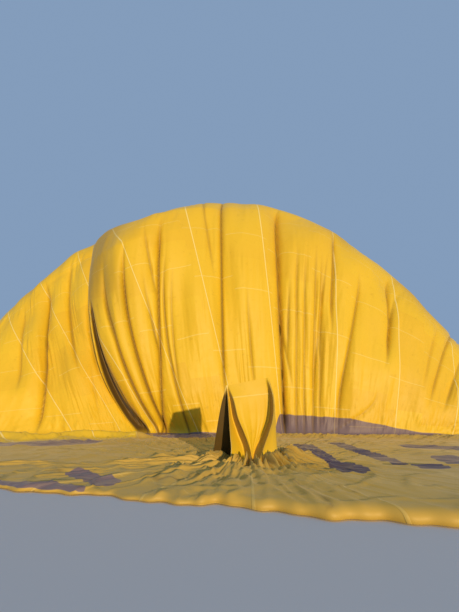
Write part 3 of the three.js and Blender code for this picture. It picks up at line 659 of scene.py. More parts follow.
cloth = form + normals_of(form) * (push * above)[..., None]
cloth[..., 1] += great_push + dark * dark_depth * bell(beside, 0, 1.0)
cloth[..., 0] -= overhang
cloth[..., 2] += rise
for middle, level, half_width, half_height, sag in CREST_SAGS:
    cloth[..., 2] -= sag * bell(PLACE, middle, half_width) * bell(ALONG, level, half_height) * on_dome
floor_height = np.where(on_dome, 0.030, 0.024)
cloth[..., 2] = np.where(above, np.maximum(cloth[..., 2], floor_height), cloth[..., 2])
for _ in range(6 // STRIDE):
    round_foot = (bell(ALONG, 1.0, 0.02) * on_dome)[1:-1, :, None]
    cloth[1:-1] += round_foot * 0.5 * ((cloth[2:] + cloth[:-2]) / 2 - cloth[1:-1])

# Cut of the cloth: distance from the crown along a gore, and half girth of the round balloon there
CUT = np.array([(0.0, 0.0), (2.4, 2.35), (6.0, 5.6), (9.0, 7.75), (13.0, 9.0), (17.0, 8.6),
                (21.0, 6.9), (25.0, 4.2), (28.0, 2.35)])
PANEL, PANEL_SHIFT = 2.0, 0.21
station = np.interp(alongs, [0, 1, 2, 3], [2.4, 8.9, 18.6, 28.0])
gore_width = 2 * math.pi * np.interp(station, CUT[:, 0], CUT[:, 1]) / GORES
HEM_ROWS = 4
# Plain bars printed on the cloth that lies round the crown: both ends on the floor, and half width
BARS = np.array([
    (1.75, 11.7, 2.00, 7.7, 0.28),
    (2.70, 12.3, 3.40, 8.0, 0.22),
    (4.60, 9.9, 4.70, 7.9, 0.45),
    (4.60, 12.0, 7.20, 10.9, 0.35),
    (-4.6, 7.8, -2.3, 7.0, 0.20),
    (-2.6, 8.1, -1.9, 7.4, 0.22),
    (-7.6, 12.3, -3.9, 12.9, 0.48),
    (-2.6, 14.4, -0.5, 13.9, 0.42),
])
bars = np.full(PLACE.shape, -1.0)
for x0, y0, x1, y1, half in BARS:
    step = np.array([x1 - x0, y1 - y0])
    offset = form[..., :2] - (x0, y0)
    offset -= np.clip(offset @ step / (step @ step), 0, 1)[..., None] * step
    bars = np.maximum(bars, half - np.linalg.norm(offset, axis=-1))
bars[(ALONG > 0.98) | ~above] = -1.0


# Finish of the cloth
# Coated ripstop nylon, satin golden yellow, in panels sewn across each gore on pale load tapes.
# A dark violet band and slanted bars are printed round the crown end, plain and without lettering.

# Places on the cut, across in gores and along in metres, between which a tone begins or ends
ROLL_END = (2.8, 3.5)
WALL_FOOT = (8.7, 8.95)
BAND_FOOT, BAND_TOP = (8.50, 8.54), 8.90
BAND_RISE = ((6.8, 7.0), (7.8, 10.2), 0.42)
SEAM_EDGE, TAPE_EDGE = (0.010, 0.017), (0.018, 0.024)
# Tones of the cloth on the floor, painted duller and greener as shade and sky light of the grazing sun
GROUND_TONES = ((0.62, 0.39, 0.045), (0.48, 0.32, 0.06))
# Tones of the violet print; the second is the print painted darker as shade on the floor to the right
VIOLET_TONES = ((0.20, 0.14, 0.14), (0.085, 0.062, 0.085))
SEAM_TONE, TAPE_TONE = (0.86, 0.66, 0.16), (0.90, 0.72, 0.24)
# Colours of the painted shade in creases and on turned cloth, and of deeper painted shadow
PAINTED_SHADE_TONE, SHADOW_TONE = (0.17, 0.095, 0.010), (0.030, 0.020, 0.002)


def cloth_finish(name, base, shade):
    finish = Finish(name, constants={"Sheen Weight": 0.12, "Sheen Roughness": 0.4})
    tape = finish.part(finish.node("UVMap", {"uv_map": "tape"}, {}), 0)
    cut = finish.node("UVMap", {"uv_map": "cut"}, {})
    place, along = finish.part(cut, 0), finish.part(cut, 1)
    metres = finish.place()
    panel = along / PANEL + (place * 1.7).whole() * PANEL_SHIFT
    here = finish.node("CombineXYZ", {}, {0: place.whole(), 1: panel.whole()})
    dye = finish.node("TexWhiteNoise", {"noise_dimensions": "2D"}, {"Vector": here}, 0)
    cloudy = finish.noise(0.55, 3.0, metres)
    worn = finish.noise(6.0, 5.0, metres)
    tone = finish.mix(base, shade, finish.step(dye * 0.5 + cloudy * 0.7, 0.2, 1.1))
    tone = finish.mix(tone, tuple(c * 0.72 for c in shade), finish.step(worn, 0.58, 0.8) * 0.35)
    rolled = 1.0 - finish.step(place, *ROLL_END)
    on_ground = 1.0 - finish.step(along + rolled * 1.8, *WALL_FOOT)
    # The cloth on the floor is painted duller and greener, as painted shade and sky light of the grazing sun
    # there
    tone = finish.mix(tone, finish.mix(*GROUND_TONES, cloudy), on_ground)
    ragged = (finish.noise(0.9, 3.0, metres) - 0.5) * 0.7
    raised = finish.step(place, *BAND_RISE[0]) * (1.0 - finish.step(place, *BAND_RISE[1]))
    band_top = BAND_TOP + raised * BAND_RISE[2]
    band = finish.step(along + ragged, *BAND_FOOT) * (1.0 - rolled)
    band = band * (1.0 - finish.step(along + ragged * 0.3 - band_top, 0.0, 0.03))
    inside = finish.node("Attribute", {"attribute_name": "bars"}, {}, "Fac")
    bars = finish.step(inside + ragged * 0.5, 0.0, 0.02)
    # The print on the floor to the right is painted darker, as painted shade
    right_side = finish.step(finish.part(metres, 0), ORIGIN[0] + 0.5, ORIGIN[0] + 1.0)
    violet = finish.mix(*VIOLET_TONES, right_side * on_ground)
    printed = finish.node("Math", {"operation": "MAXIMUM"}, {0: band, 1: bars})
    tone = finish.mix(tone, violet, printed)
    seam = abs(panel.fraction() - 0.5) * PANEL
    sewn = 1.0 - finish.step(seam, *SEAM_EDGE)
    taped = 1.0 - finish.step(tape, *TAPE_EDGE)
    bare = 1.0 - printed * 0.8
    tone = finish.mix(tone, SEAM_TONE, sewn * (0.50 - on_ground * 0.35) * bare)
    tone = finish.mix(tone, TAPE_TONE, taped * (0.8 - on_ground * 0.6) * bare)
    # Painted shade in creases and on turned cloth, and a deeper painted shadow where the value passes 1
    painted_shade_fac = finish.node("Attribute", {"attribute_name": "painted_shade"}, {}, "Fac")
    tone = finish.mix(tone, PAINTED_SHADE_TONE, painted_shade_fac * 0.85)
    tone = finish.mix(tone, SHADOW_TONE, finish.step(painted_shade_fac, 1.0, 1.6))
    finish.colour(tone)
    finish.rough(0.50 + worn * 0.14)
    weave = finish.noise(90.0, 1.0, metres)
    finish.bump(taped * 0.9 + sewn * 0.5 + worn * 0.25 + weave * 0.12, 0.004)
    return finish


yellow = cloth_finish("yellow_ripstop", (0.80, 0.53, 0.012), (0.74, 0.46, 0.010))


def sheet_object(name, points, painted_shade, bars, cut, tape):
    """A sheet over a grid of points, with what its finish reads: painted shade, bars, and two maps in
    metres.
    """
    rows, columns = points.shape[:2]
    k = (np.arange(rows - 1)[:, None] * columns + np.arange(columns - 1)).ravel()
    faces = np.stack([k, k + 1, k + columns + 1, k + columns], -1)
    obj = mesh_object(name, (points + ORIGIN).reshape(-1, 3), faces, yellow)
    for title, values in (("painted_shade", painted_shade), ("bars", bars)):
        obj.data.attributes.new(title, "FLOAT", "POINT").data.foreach_set("value", values.ravel())
    loops = np.empty(len(obj.data.loops), int)
    obj.data.loops.foreach_get("vertex_index", loops)
    for title, pair in (("cut", cut), ("tape", tape)):
        pair = np.stack(np.broadcast_arrays(*pair), -1).reshape(-1, 2)
        obj.data.uv_layers.new(name=title).data.foreach_set("uv", pair[loops].ravel())
    return obj


def gore_object(number, first, columns, rows):
    """One gore as its own sheet, from its columns of the cloth, sharing its seams with its neighbours."""
    part = np.ix_(rows, (np.arange(columns + 1) + first) % cloth.shape[1])
    across = np.linspace(0, 1, columns + 1)
    down = station[rows][:, None]
    cut = (number - 1 + across * 0.9999, down)
    tape = (np.minimum(across, 1 - across) * gore_width[rows][:, None], down)
    obj = sheet_object(f"envelope_gore_{number:02d}", cloth[part], painted_shade[part], bars[part], cut, tape)
    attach(obj, "balloon")
    return obj


every_row = np.arange(cloth.shape[0])
for k in range(DOME_GORES):
    gore = gore_object(k + 1, k * DOME_COLUMNS, DOME_COLUMNS, every_row)
    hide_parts(f"dome_gore_{k + 1:02d}")
last_near = int((alongs <= FRONT_AT + 0.02).sum())
hidden_rows = np.r_[every_row[:last_near], every_row[last_near:-1:HEM_ROWS], every_row[-1]]
for k in range(UNDER_GORES):
    first = DOME_GORES * DOME_COLUMNS + k * UNDER_COLUMNS
    gore = gore_object(DOME_GORES + k + 1, first, UNDER_COLUMNS, hidden_rows)
    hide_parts(f"under_gore_{UNDER_GORES - k}", f"front_panel_{(UNDER_GORES - k + 1) // 2}")


# Standing fold of the vent panel
# The cloth that closes the crown opening, pulled up and left standing in the opening like a tent.
# It is one sheet: from the open left side round the back, and across the front in three pleats.
FOLD_HEIGHTS = (1.56, 1.25, 0.95, 0.65, 0.40, 0.17, 0.03)
# Creases from the back's left edge round to the front's left edge: x and y at each height
FOLD_CREASES = [
    ((-0.07, -0.15, -0.21, -0.26, -0.30, -0.33, -0.34), (9.08, 9.16, 9.24, 9.33, 9.42, 9.50, 9.54)),
    ((0.35, 0.36, 0.37, 0.38, 0.38, 0.38, 0.38), (9.08, 9.27, 9.38, 9.46, 9.52, 9.57, 9.60)),
    ((0.75, 0.81, 0.84, 0.86, 0.87, 0.89, 0.91), (9.08, 9.16, 9.22, 9.28, 9.32, 9.37, 9.40)),
    ((0.77, 0.86, 0.88, 0.89, 0.90, 0.93, 0.97), (9.08, 9.05, 9.04, 9.02, 8.98, 8.86, 8.78)),
    ((0.74, 0.82, 0.80, 0.70, 0.60, 0.52, 0.50), (9.08, 8.84, 8.76, 8.70, 8.64, 8.54, 8.50)),
    ((0.71, 0.77, 0.76, 0.64, 0.49, 0.43, 0.42), (9.08, 9.10, 9.12, 9.10, 9.00, 8.89, 8.86)),
    ((-0.03, 0.08, 0.16, 0.29, 0.38, 0.42, 0.41), (9.08, 8.95, 8.91, 8.87, 8.85, 8.85, 8.85)),
    ((-0.04, 0.01, 0.06, 0.16, 0.26, 0.28, 0.25), (9.08, 9.10, 9.13, 9.15, 9.10, 8.95, 8.90)),
    ((-0.05, -0.03, -0.01, 0.01, 0.03, 0.00, -0.04), (9.08, 9.00, 8.93, 8.86, 8.79, 8.72, 8.66)),
]
FOLD_STEPS = (14, 14, 3, 9, 9, 30, 9, 7)
FOLD_ROWS = 56
RIDGE_SLOPE = 0.19
FOLD_SEAM_HEIGHT, FOLD_GORE = 1.33, 5.2
# Painted shade of each span between two creases; past 1 it is deeper painted shadow, inside the open left
# side
FOLD_SHADES = (1.3, 0, 0, 0, 0.9, 0, 0.9, 0)


def vent_fold_points():
    creases = np.array(FOLD_CREASES)
    levels = np.linspace(0, len(FOLD_HEIGHTS) - 1, FOLD_ROWS)
    heights = np.interp(levels, np.arange(len(FOLD_HEIGHTS)), FOLD_HEIGHTS)
    lines = np.stack([np.stack([column(c.T, k, levels) for k in (0, 1)], -1) for c in creases])
    rows = []
    for row, z in enumerate(heights):
        corners = lines[:, row]
        points = []
        for k, steps in enumerate(FOLD_STEPS):
            t = np.arange(steps)[:, None] / steps
            span = corners[k + 1] - corners[k]
            out = np.array([span[1], -span[0]])
            sag = 0.05 * math.sin(math.pi * min(row / FOLD_ROWS * 1.3, 1.0))
            points.append(corners[k] + t * span + out * sag * np.sin(math.pi * t))
        flat = np.concatenate([*points, corners[-1:]])
        climb = smooth(1.0, 1.56, z) * RIDGE_SLOPE * (flat[:, 0] - creases[0, 0, 0])
        rows.append(np.column_stack([flat, z + climb]))
    return np.array(rows)


fold = vent_fold_points()
hang = rng.standard_normal((2, fold.shape[1]))
hang = np.stack([np.convolve(np.tile(line, 3), np.hanning(width), "same")[len(line):-len(line)]
                 for line, width in zip(hang, (5, 11))])
down_fold = np.linspace(0, 1, FOLD_ROWS)[:, None]
ripple = 0.004 * hang[0] * np.sin(math.pi * down_fold) + 0.005 * hang[1] * down_fold
ripple *= smooth(0.0, 0.15, down_fold) * np.sin(np.linspace(0, math.pi, fold.shape[1])) ** 0.3
fold[..., 1] += ripple
around = np.cumsum(np.linalg.norm(np.diff(fold, axis=1, prepend=fold[:, :1]), axis=-1), 1)
edge_distance = np.minimum(around, around[:, -1:] - around)
seam_station = PANEL * (10.5 - 8 * PANEL_SHIFT) + FOLD_SEAM_HEIGHT - fold[..., 2] + 0.10 * fold[..., 0]
# Painted shade over the fold's spans, fading in below the ridge
shaded = np.append(np.repeat(FOLD_SHADES, FOLD_STEPS), 0.0) * smooth(0.0, 0.12, down_fold)
vent_fold = sheet_object("vent_panel_fold", fold, shaded, shaded * 0 - 1,
                         (FOLD_GORE, seam_station), (edge_distance, fold[..., 2]))
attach(vent_fold, "balloon")
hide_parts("vent_fold")


# Mouth tape
# Webbing sewn round the mouth, with the seam folded over it. The flying wires are looped to it.
def swept_tube_nodes():
    """Nodes that sweep a circle along a curve, and the names of their radius, sides and material."""
    tree = bpy.data.node_groups.new("swept_tube", "GeometryNodeTree")
    names = [tree.interface.new_socket(kind, in_out="INPUT", socket_type="NodeSocket" + kind).identifier
             for kind in ("Geometry", "Float", "Int", "Material")]
    tree.interface.new_socket("Tube", in_out="OUTPUT", socket_type="NodeSocketGeometry")
    given, made = tree.nodes.new("NodeGroupInput"), tree.nodes.new("NodeGroupOutput")
    circle, sweep, shade, real, coat = (tree.nodes.new("GeometryNode" + kind) for kind in (
        "CurvePrimitiveCircle", "CurveToMesh", "SetShadeSmooth", "RealizeInstances", "SetMaterial"))
    sweep.inputs["Fill Caps"].default_value = True
    for start, end in (
        (given.outputs[0], sweep.inputs["Curve"]),
        (given.outputs[1], circle.inputs["Radius"]),
        (given.outputs[2], circle.inputs["Resolution"]),
        (given.outputs[3], coat.inputs["Material"]),
        (circle.outputs["Curve"], sweep.inputs["Profile Curve"]),
        (sweep.outputs["Mesh"], shade.inputs["Geometry"]),
        (shade.outputs["Geometry"], real.inputs["Geometry"]),
        (real.outputs["Geometry"], coat.inputs["Geometry"]),
        (coat.outputs["Geometry"], made.inputs[0]),
    ):
        tree.links.new(start, end)
    return tree, names[1:]


tube_tree, tube_inputs = swept_tube_nodes()


def swept(name, routes, radius, finish, sides=8, closed=False):
    """Round bars or cords along routes of points, as one plain mesh."""
    curve = bpy.data.curves.new(name, "CURVE")
    curve.dimensions = "3D"
    for route in routes:
        spline = curve.splines.new("POLY")
        spline.points.add(len(route) - 1)
        spline.points.foreach_set("co", np.column_stack([route, np.ones(len(route))]).ravel())
        spline.use_cyclic_u = closed
    source = bpy.data.objects.new(name + "_route", curve)
    modifier = source.modifiers.new("make", "NODES")
    modifier.node_group = tube_tree
    for socket, value in zip(tube_inputs, (radius, sides, finish.material)):
        modifier[socket] = value
    bpy.context.scene.collection.objects.link(source)
    graph = bpy.context.evaluated_depsgraph_get()
    mesh = bpy.data.meshes.new_from_object(source.evaluated_get(graph))
    bpy.data.objects.remove(source)
    mesh.name = name
    obj = bpy.data.objects.new(name, mesh)
    bpy.context.scene.collection.objects.link(obj)
    return obj


def webbing_finish():
    finish = Finish("webbing", roughness=0.75, constants={"Sheen Weight": 0.2})
    finish.colour(finish.mix((0.62, 0.42, 0.10), (0.42, 0.28, 0.07), finish.noise(9.0, 3.0)))
    finish.bump(finish.noise(260.0, 2.0), 0.0015)
    return finish


webbing = webbing_finish()
MOUTH_TAPE_RADIUS = 0.012
mouth_edge = cloth[-1] + ORIGIN + (0.0, 0.0, MOUTH_TAPE_RADIUS)
mouth_tape = swept("mouth_tape", [mouth_edge[::3]], MOUTH_TAPE_RADIUS, webbing, closed=True)
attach(mouth_tape, "balloon")


# Basket walls
# Willow rods woven round upright stakes, and left open at the two step holes, which are bound in hide.
STAKES = 114
STAKE_RADIUS = 0.006
ROD_RADIUS = 0.0062
ROD_PITCH = 0.0142
WEAVE_DEPTH = 0.0095
ROD_WANDER = 0.0012
WALL_INSET = 0.017
FLARE = 0.060
CORNER = 0.160
STEP_WIDTH, STEP_HEIGHT, STEP_Z = 0.240, 0.150, 0.480
BINDING_OUT = 0.008
BASKET = np.array([basket_x, basket_y])
basket_width, basket_depth = walls_high.x - walls_low.x, walls_high.y - walls_low.y
floor_top, wall_top = walls_low.z, walls_high.z


def basket_outline(z, inset, turns):
    """Points round the basket at a height, at shares of its girth, moved in from its outer face."""
    drop = FLARE * (1 - (z - floor_top) / (wall_top - floor_top))
    w, d = (basket_width - drop) / 2 - CORNER, (basket_depth - drop) / 2 - CORNER
    radius = CORNER - inset
    arc = math.pi / 2 * radius
    lengths = np.array([w, arc, 2 * d, arc, 2 * w, arc, 2 * d, arc, w])
    ends = np.cumsum(lengths)
    s = (np.asarray(turns) % 1.0) * ends[-1]
    side = np.minimum(np.searchsorted(ends, s, side="right"), 8)
    t = (s - (ends[side] - lengths[side])) / lengths[side]
    # Straight stretches and corners take turns: a corner turns the way out, a straight moves its centre
    angle = np.radians(-90 + 90 * (side // 2 + np.where(side % 2 == 1, t, 0)))
    out = np.stack([np.cos(angle), np.sin(angle)], -1)
    corners = np.repeat([(0, -d), (w, -d), (w, d), (-w, d), (-w, -d), (0, -d)], (1, 2, 2, 2, 2, 1), 0)
    straight = np.where(side % 2 == 0, t, 0)[:, None]
    return mix(corners[side], corners[side + 1], straight) + radius * out, out


def at_height(points, z):
    return np.column_stack([points + BASKET, np.full(len(points), z)])


def in_step_hole(points, z, margin):
    return ((np.abs(points[:, 1]) < STEP_WIDTH / 2 + margin) & (np.abs(points[:, 0]) > basket_width / 3)
            & (abs(z - STEP_Z) < STEP_HEIGHT / 2 + margin))


def wicker_finish():
    finish = Finish("varnished_willow", constants={"Coat Weight": 0.25, "Coat Roughness": 0.35})
    where = finish.place()
    rods = finish.noise(26.0, 3.0, where, (0.35, 0.35, 3.0))
    fibre = finish.noise(160.0, 3.0, where, (0.3, 0.3, 2.0))
    aged = finish.noise(2.2, 3.0, where)
    tone = finish.mix((0.40, 0.215, 0.085), (0.24, 0.115, 0.040), finish.step(rods, 0.35, 0.68))
    tone = finish.mix(tone, (0.56, 0.35, 0.16), finish.step(fibre, 0.55, 0.8) * 0.5)
    finish.colour(finish.mix(tone, (0.15, 0.075, 0.030), finish.step(aged, 0.5, 0.8) * 0.6))
    finish.rough(0.42 + fibre * 0.25)
    finish.bump(fibre, 0.0012)
    return finish


def hide_finish():
    finish = Finish("brown_hide", constants={"Sheen Weight": 0.15})
    where = finish.place()
    grain = finish.noise(240.0, 4.0, where)
    worn = finish.noise(7.0, 4.0, where)
    tone = finish.mix((0.115, 0.058, 0.030), (0.070, 0.034, 0.018), grain)
    finish.colour(finish.mix(tone, (0.24, 0.145, 0.085), finish.step(worn, 0.56, 0.78) * 0.6))
    finish.rough(0.62 + grain * 0.25)
    finish.bump(grain * 0.7 + worn, 0.0012)
    return finish


willow = wicker_finish()
hide = hide_finish()
rod_stops = (np.arange(2 * STAKES) + 0.5) / (2 * STAKES)
rod_routes, open_routes = [], []
for row in range(int((wall_top - floor_top - 2 * ROD_RADIUS) / ROD_PITCH) + 1):
    z = floor_top + ROD_RADIUS + row * ROD_PITCH
    points, out = basket_outline(z, WALL_INSET, rod_stops)
    stop = np.arange(2 * STAKES)
    wave = (stop % 2) * np.where((stop // 2 + row) % 2 == 0, 1.0, -1.0)
    route = at_height(points + out * (WEAVE_DEPTH * wave)[:, None], z)
    route[:, 2] += ROD_WANDER * np.sin(rod_stops * 2 * math.pi * 7 + row * 2.3)
    gap = in_step_hole(points, z, ROD_RADIUS + 0.004)
    if gap.any():
        start = np.flatnonzero(gap & ~np.roll(gap, -1))[0] + 1
        route, gap = np.roll(route, -start, 0), np.roll(gap, -start)
        solid = np.flatnonzero(~gap)
        open_routes += [route[run] for run in np.split(solid, np.flatnonzero(np.diff(solid) > 1) + 1)]
    else:
        rod_routes.append(route)
half_hole = STEP_HEIGHT / 2 + BINDING_OUT
stake_routes = []
for k in range(STAKES):
    turn = [(2 * k + 1.5) / (2 * STAKES)]
    foot = basket_outline(floor_top + STAKE_RADIUS, WALL_INSET, turn)[0]
    spans = [(floor_top, wall_top)]
    if in_step_hole(foot, STEP_Z, STAKE_RADIUS).any():
        spans = [(floor_top, STEP_Z - half_hole), (STEP_Z + half_hole, wall_top)]
    for span in spans:
        stake_routes.append(np.concatenate([
            at_height(basket_outline(z, WALL_INSET, turn)[0], z) for z in np.linspace(*span, 5)
        ]))
rods = swept("willow_rods", rod_routes, ROD_RADIUS, willow, sides=4, closed=True)
open_rods = swept("willow_rods_at_steps", open_routes, ROD_RADIUS, willow, sides=4)
stakes = swept("willow_stakes", stake_routes, STAKE_RADIUS, willow, sides=5)
for piece in (rods, open_rods, stakes):
    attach(piece, "balloon")
    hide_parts("basket_walls")

step_edges = []
for side in (-1, 1):
    for inset in (0.004, 0.030):
        turn = np.linspace(0, 2 * math.pi, 40, endpoint=False)
        y, z = (np.sign(wave) * np.abs(wave) ** 0.35 for wave in (np.cos(turn), np.sin(turn)))
        y, z = y * (STEP_WIDTH / 2 + BINDING_OUT), z * half_hole + STEP_Z
        half = (basket_width - FLARE * (1 - (z - floor_top) / (wall_top - floor_top))) / 2 - inset
        step_edges.append(np.column_stack([basket_x + side * half, basket_y + y, z]))
step_binding = swept("step_hole_binding", step_edges, 0.0075, hide, closed=True)
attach(step_binding, "balloon")


# Basket rim
# Foam tube round the top edge, wrapped in hide that is drawn together below with a spiral thong.
RIM_RADIUS = 0.045
RIM_CENTRE_INSET = 0.0225
RIM_STEPS, RIM_SIDES = 230, 22
THONG_RADIUS = 0.0032
THONG_TURNS = 84
rim_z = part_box("basket_rim")[1].z - RIM_RADIUS


def band_faces(rows, sides):
    """Faces round a tube, between one ring of points and the next."""
    k = np.arange((rows - 1) * sides)
    beside = k - k % sides + (k + 1) % sides
    return np.stack([k, beside, beside + sides, k + sides], -1)


def round_rim(turns, angles, radius):
    points, out = basket_outline(wall_top, RIM_CENTRE_INSET, turns)
    flat = points + out * (radius * np.cos(angles))[:, None] + BASKET
    return np.column_stack([flat, rim_z + radius * np.sin(angles)])


turns = np.repeat(np.arange(RIM_STEPS) / RIM_STEPS, RIM_SIDES)
angles = np.tile(np.arange(RIM_SIDES) / RIM_SIDES, RIM_STEPS) * 2 * math.pi
pinch = np.cos(turns * THONG_TURNS * 2 * math.pi - angles)
wrinkle = 0.0010 * np.sin(turns * 2 * math.pi * 61 + 2 * np.sin(angles * 2))
wrinkle += 0.0012 * rng.standard_normal(len(turns))
radius = RIM_RADIUS - 0.0022 - 0.0022 * np.clip(pinch, 0, 1) ** 6 + 0.6 * wrinkle
faces = band_faces(RIM_STEPS + 1, RIM_SIDES) % (RIM_STEPS * RIM_SIDES)
rim = mesh_object("basket_rim_cover", round_rim(turns, angles, radius), faces[:, [0, 3, 2, 1]], hide)
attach(rim, "balloon")
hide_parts("basket_rim")
steps = np.arange(THONG_TURNS * 12) / (THONG_TURNS * 12)
thong_route = round_rim(steps, steps * THONG_TURNS * 2 * math.pi, RIM_RADIUS - 0.0030)
thong = swept("rim_thong", [thong_route], THONG_RADIUS, hide, sides=6, closed=True)
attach(thong, "balloon")


# Hide skirt
# Strip of hide round the foot of the walls, where they scrape on the ground, laced to the rods.
SKIRT_TOP, SKIRT_OUT = 0.165, 0.005
SKIRT_ROWS, SKIRT_STEPS = 7, 228
levels = np.linspace(floor_top - 0.018, SKIRT_TOP, SKIRT_ROWS)
skirt_turns = np.arange(SKIRT_STEPS) / SKIRT_STEPS
rows = []
for z in levels:
    points, out = basket_outline(max(z, floor_top), -SKIRT_OUT, skirt_turns)
    puff = 0.0022 * np.sin(math.pi * (z - levels[0]) / (levels[-1] - levels[0]))
    puff = puff + 0.0012 * np.sin(skirt_turns * 2 * math.pi * 57)
    rows.append(at_height(points + out * puff[:, None], z))
skirt = mesh_object("basket_skirt", np.concatenate(rows), band_faces(SKIRT_ROWS, SKIRT_STEPS), hide)
skirt.modifiers.new("thickness", "SOLIDIFY").thickness = 0.003
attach(skirt, "balloon")
LACE_TURNS = 76
steps = np.arange(LACE_TURNS * 6) / (LACE_TURNS * 6)
points, out = basket_outline(SKIRT_TOP, 0.002, steps)
swing = steps * LACE_TURNS * 2 * math.pi
lace_route = at_height(points + out * (0.009 * np.cos(swing))[:, None], SKIRT_TOP)
lace_route[:, 2] += 0.011 * np.sin(swing) - 0.004
lace = swept("skirt_lace", [lace_route], THONG_RADIUS, hide, sides=6, closed=True)
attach(lace, "balloon")


# Basket floor and runners
# Varnished birch plywood on three ash runners, screwed through from above.
def wood_finish(name, light, dark, ply):
    finish = Finish(name, constants={"Coat Weight": 0.3, "Coat Roughness": 0.3})
    where = finish.place()
    grain = finish.noise(14.0, 6.0, where, (0.12, 1.0, 1.0 if not ply else 12.0))
    pores = finish.noise(120.0, 3.0, where, (0.05, 1.0, 1.0))
    scuffed = finish.noise(5.0, 5.0, where)
    tone = finish.mix(light, dark, finish.step(grain, 0.35, 0.7))
    tone = finish.mix(tone, tuple(c * 0.5 for c in dark), finish.step(pores, 0.6, 0.8) * 0.5)
    finish.colour(finish.mix(tone, (0.30, 0.26, 0.20), finish.step(scuffed, 0.55, 0.75) * 0.5))
    finish.rough(0.35 + scuffed * 0.4)
    finish.bump(pores, 0.0006)
    return finish


def give(node, finish):
    """Puts a finish on a node that is shown as it is."""
    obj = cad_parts[node]
    for slot in obj.material_slots:
        slot.material = finish.material
    if not obj.material_slots:
        obj.data.materials.append(finish.material)


plywood = wood_finish("birch_plywood", (0.52, 0.36, 0.19), (0.40, 0.25, 0.12), True)
ash = wood_finish("ash_runner", (0.44, 0.30, 0.16), (0.30, 0.19, 0.09), False)
give("basket_floor", plywood)
for k in (1, 2, 3):
    give(f"basket_runner_{k}", ash)


# Upright covers
# Nylon rods in padded covers that zip shut, each drawn to its rod by three webbing straps.
UPRIGHTS = {"front_left": (-1, -1), "front_right": (1, -1), "rear_left": (-1, 1), "rear_right": (1, 1)}
UPRIGHT_FOOT = (0.681, 0.531, 1.081)
UPRIGHT_HEAD = (0.620, 0.480, 1.997)
UPRIGHT_RADIUS = 0.028
COVER_STEPS, COVER_SIDES = 70, 26
HEM_LENGTH = 0.03
STRAPS_AT = (0.13, 0.5, 0.87)
STRAP_WIDTH = 0.026
ZIP_TEETH = 120


def cover_finish():
    finish = Finish("quilted_nylon", roughness=0.7, constants={"Sheen Weight": 0.25})
    where = finish.place()
    weave = finish.noise(420.0, 2.0, where)
    dusty = finish.noise(6.0, 4.0, where)
    tone = finish.mix((0.022, 0.026, 0.050), (0.045, 0.050, 0.080), weave)
    finish.colour(finish.mix(tone, (0.16, 0.15, 0.14), finish.step(dusty, 0.55, 0.8) * 0.4))
    finish.rough(0.62 + dusty * 0.25)
    finish.bump(weave + dusty * 2.0, 0.0008)
    return finish


def grained_finish(name, light, dark, grain, rough=None, bump=None, **settings):
    """A finish with one grain between two colours, which also varies its roughness and bump."""
    finish = Finish(name, **settings)
    tone = finish.noise(*grain)
    finish.colour(finish.mix(light, dark, tone))
    if rough:
        finish.rough(rough[0] + tone * rough[1])
    if bump:
        finish.bump(tone, bump)
    return finish


cover_cloth = cover_finish()
strap_cloth = grained_finish("strap_webbing", (0.030, 0.030, 0.032), (0.075, 0.075, 0.078),
                             (500.0, 1.0, None, (1.0, 1.0, 0.3)), bump=0.0008,
                             roughness=0.7, constants={"Sheen Weight": 0.2})


def joined(name, pieces):
    """Makes one object of several."""
    with bpy.context.temp_override(active_object=pieces[0], selected_editable_objects=pieces):
        bpy.ops.object.join()
    pieces[0].name = name
    pieces[0].data.name = name
    return pieces[0]


def along_rod(foot, head, across, levels, angles, radii):
    """Points round a rod, at shares of its length; angle 0 looks away from the basket's middle."""
    run = (head - foot) / np.linalg.norm(head - foot)
    out = across - run * np.dot(across, run)
    out /= np.linalg.norm(out)
    side = np.cross(run, out)
    levels, angles, radii = (k[..., None] for k in np.broadcast_arrays(levels, angles, radii))
    points = foot + levels * (head - foot) + radii * (np.cos(angles) * out + np.sin(angles) * side)
    return points.reshape(-1, 3)


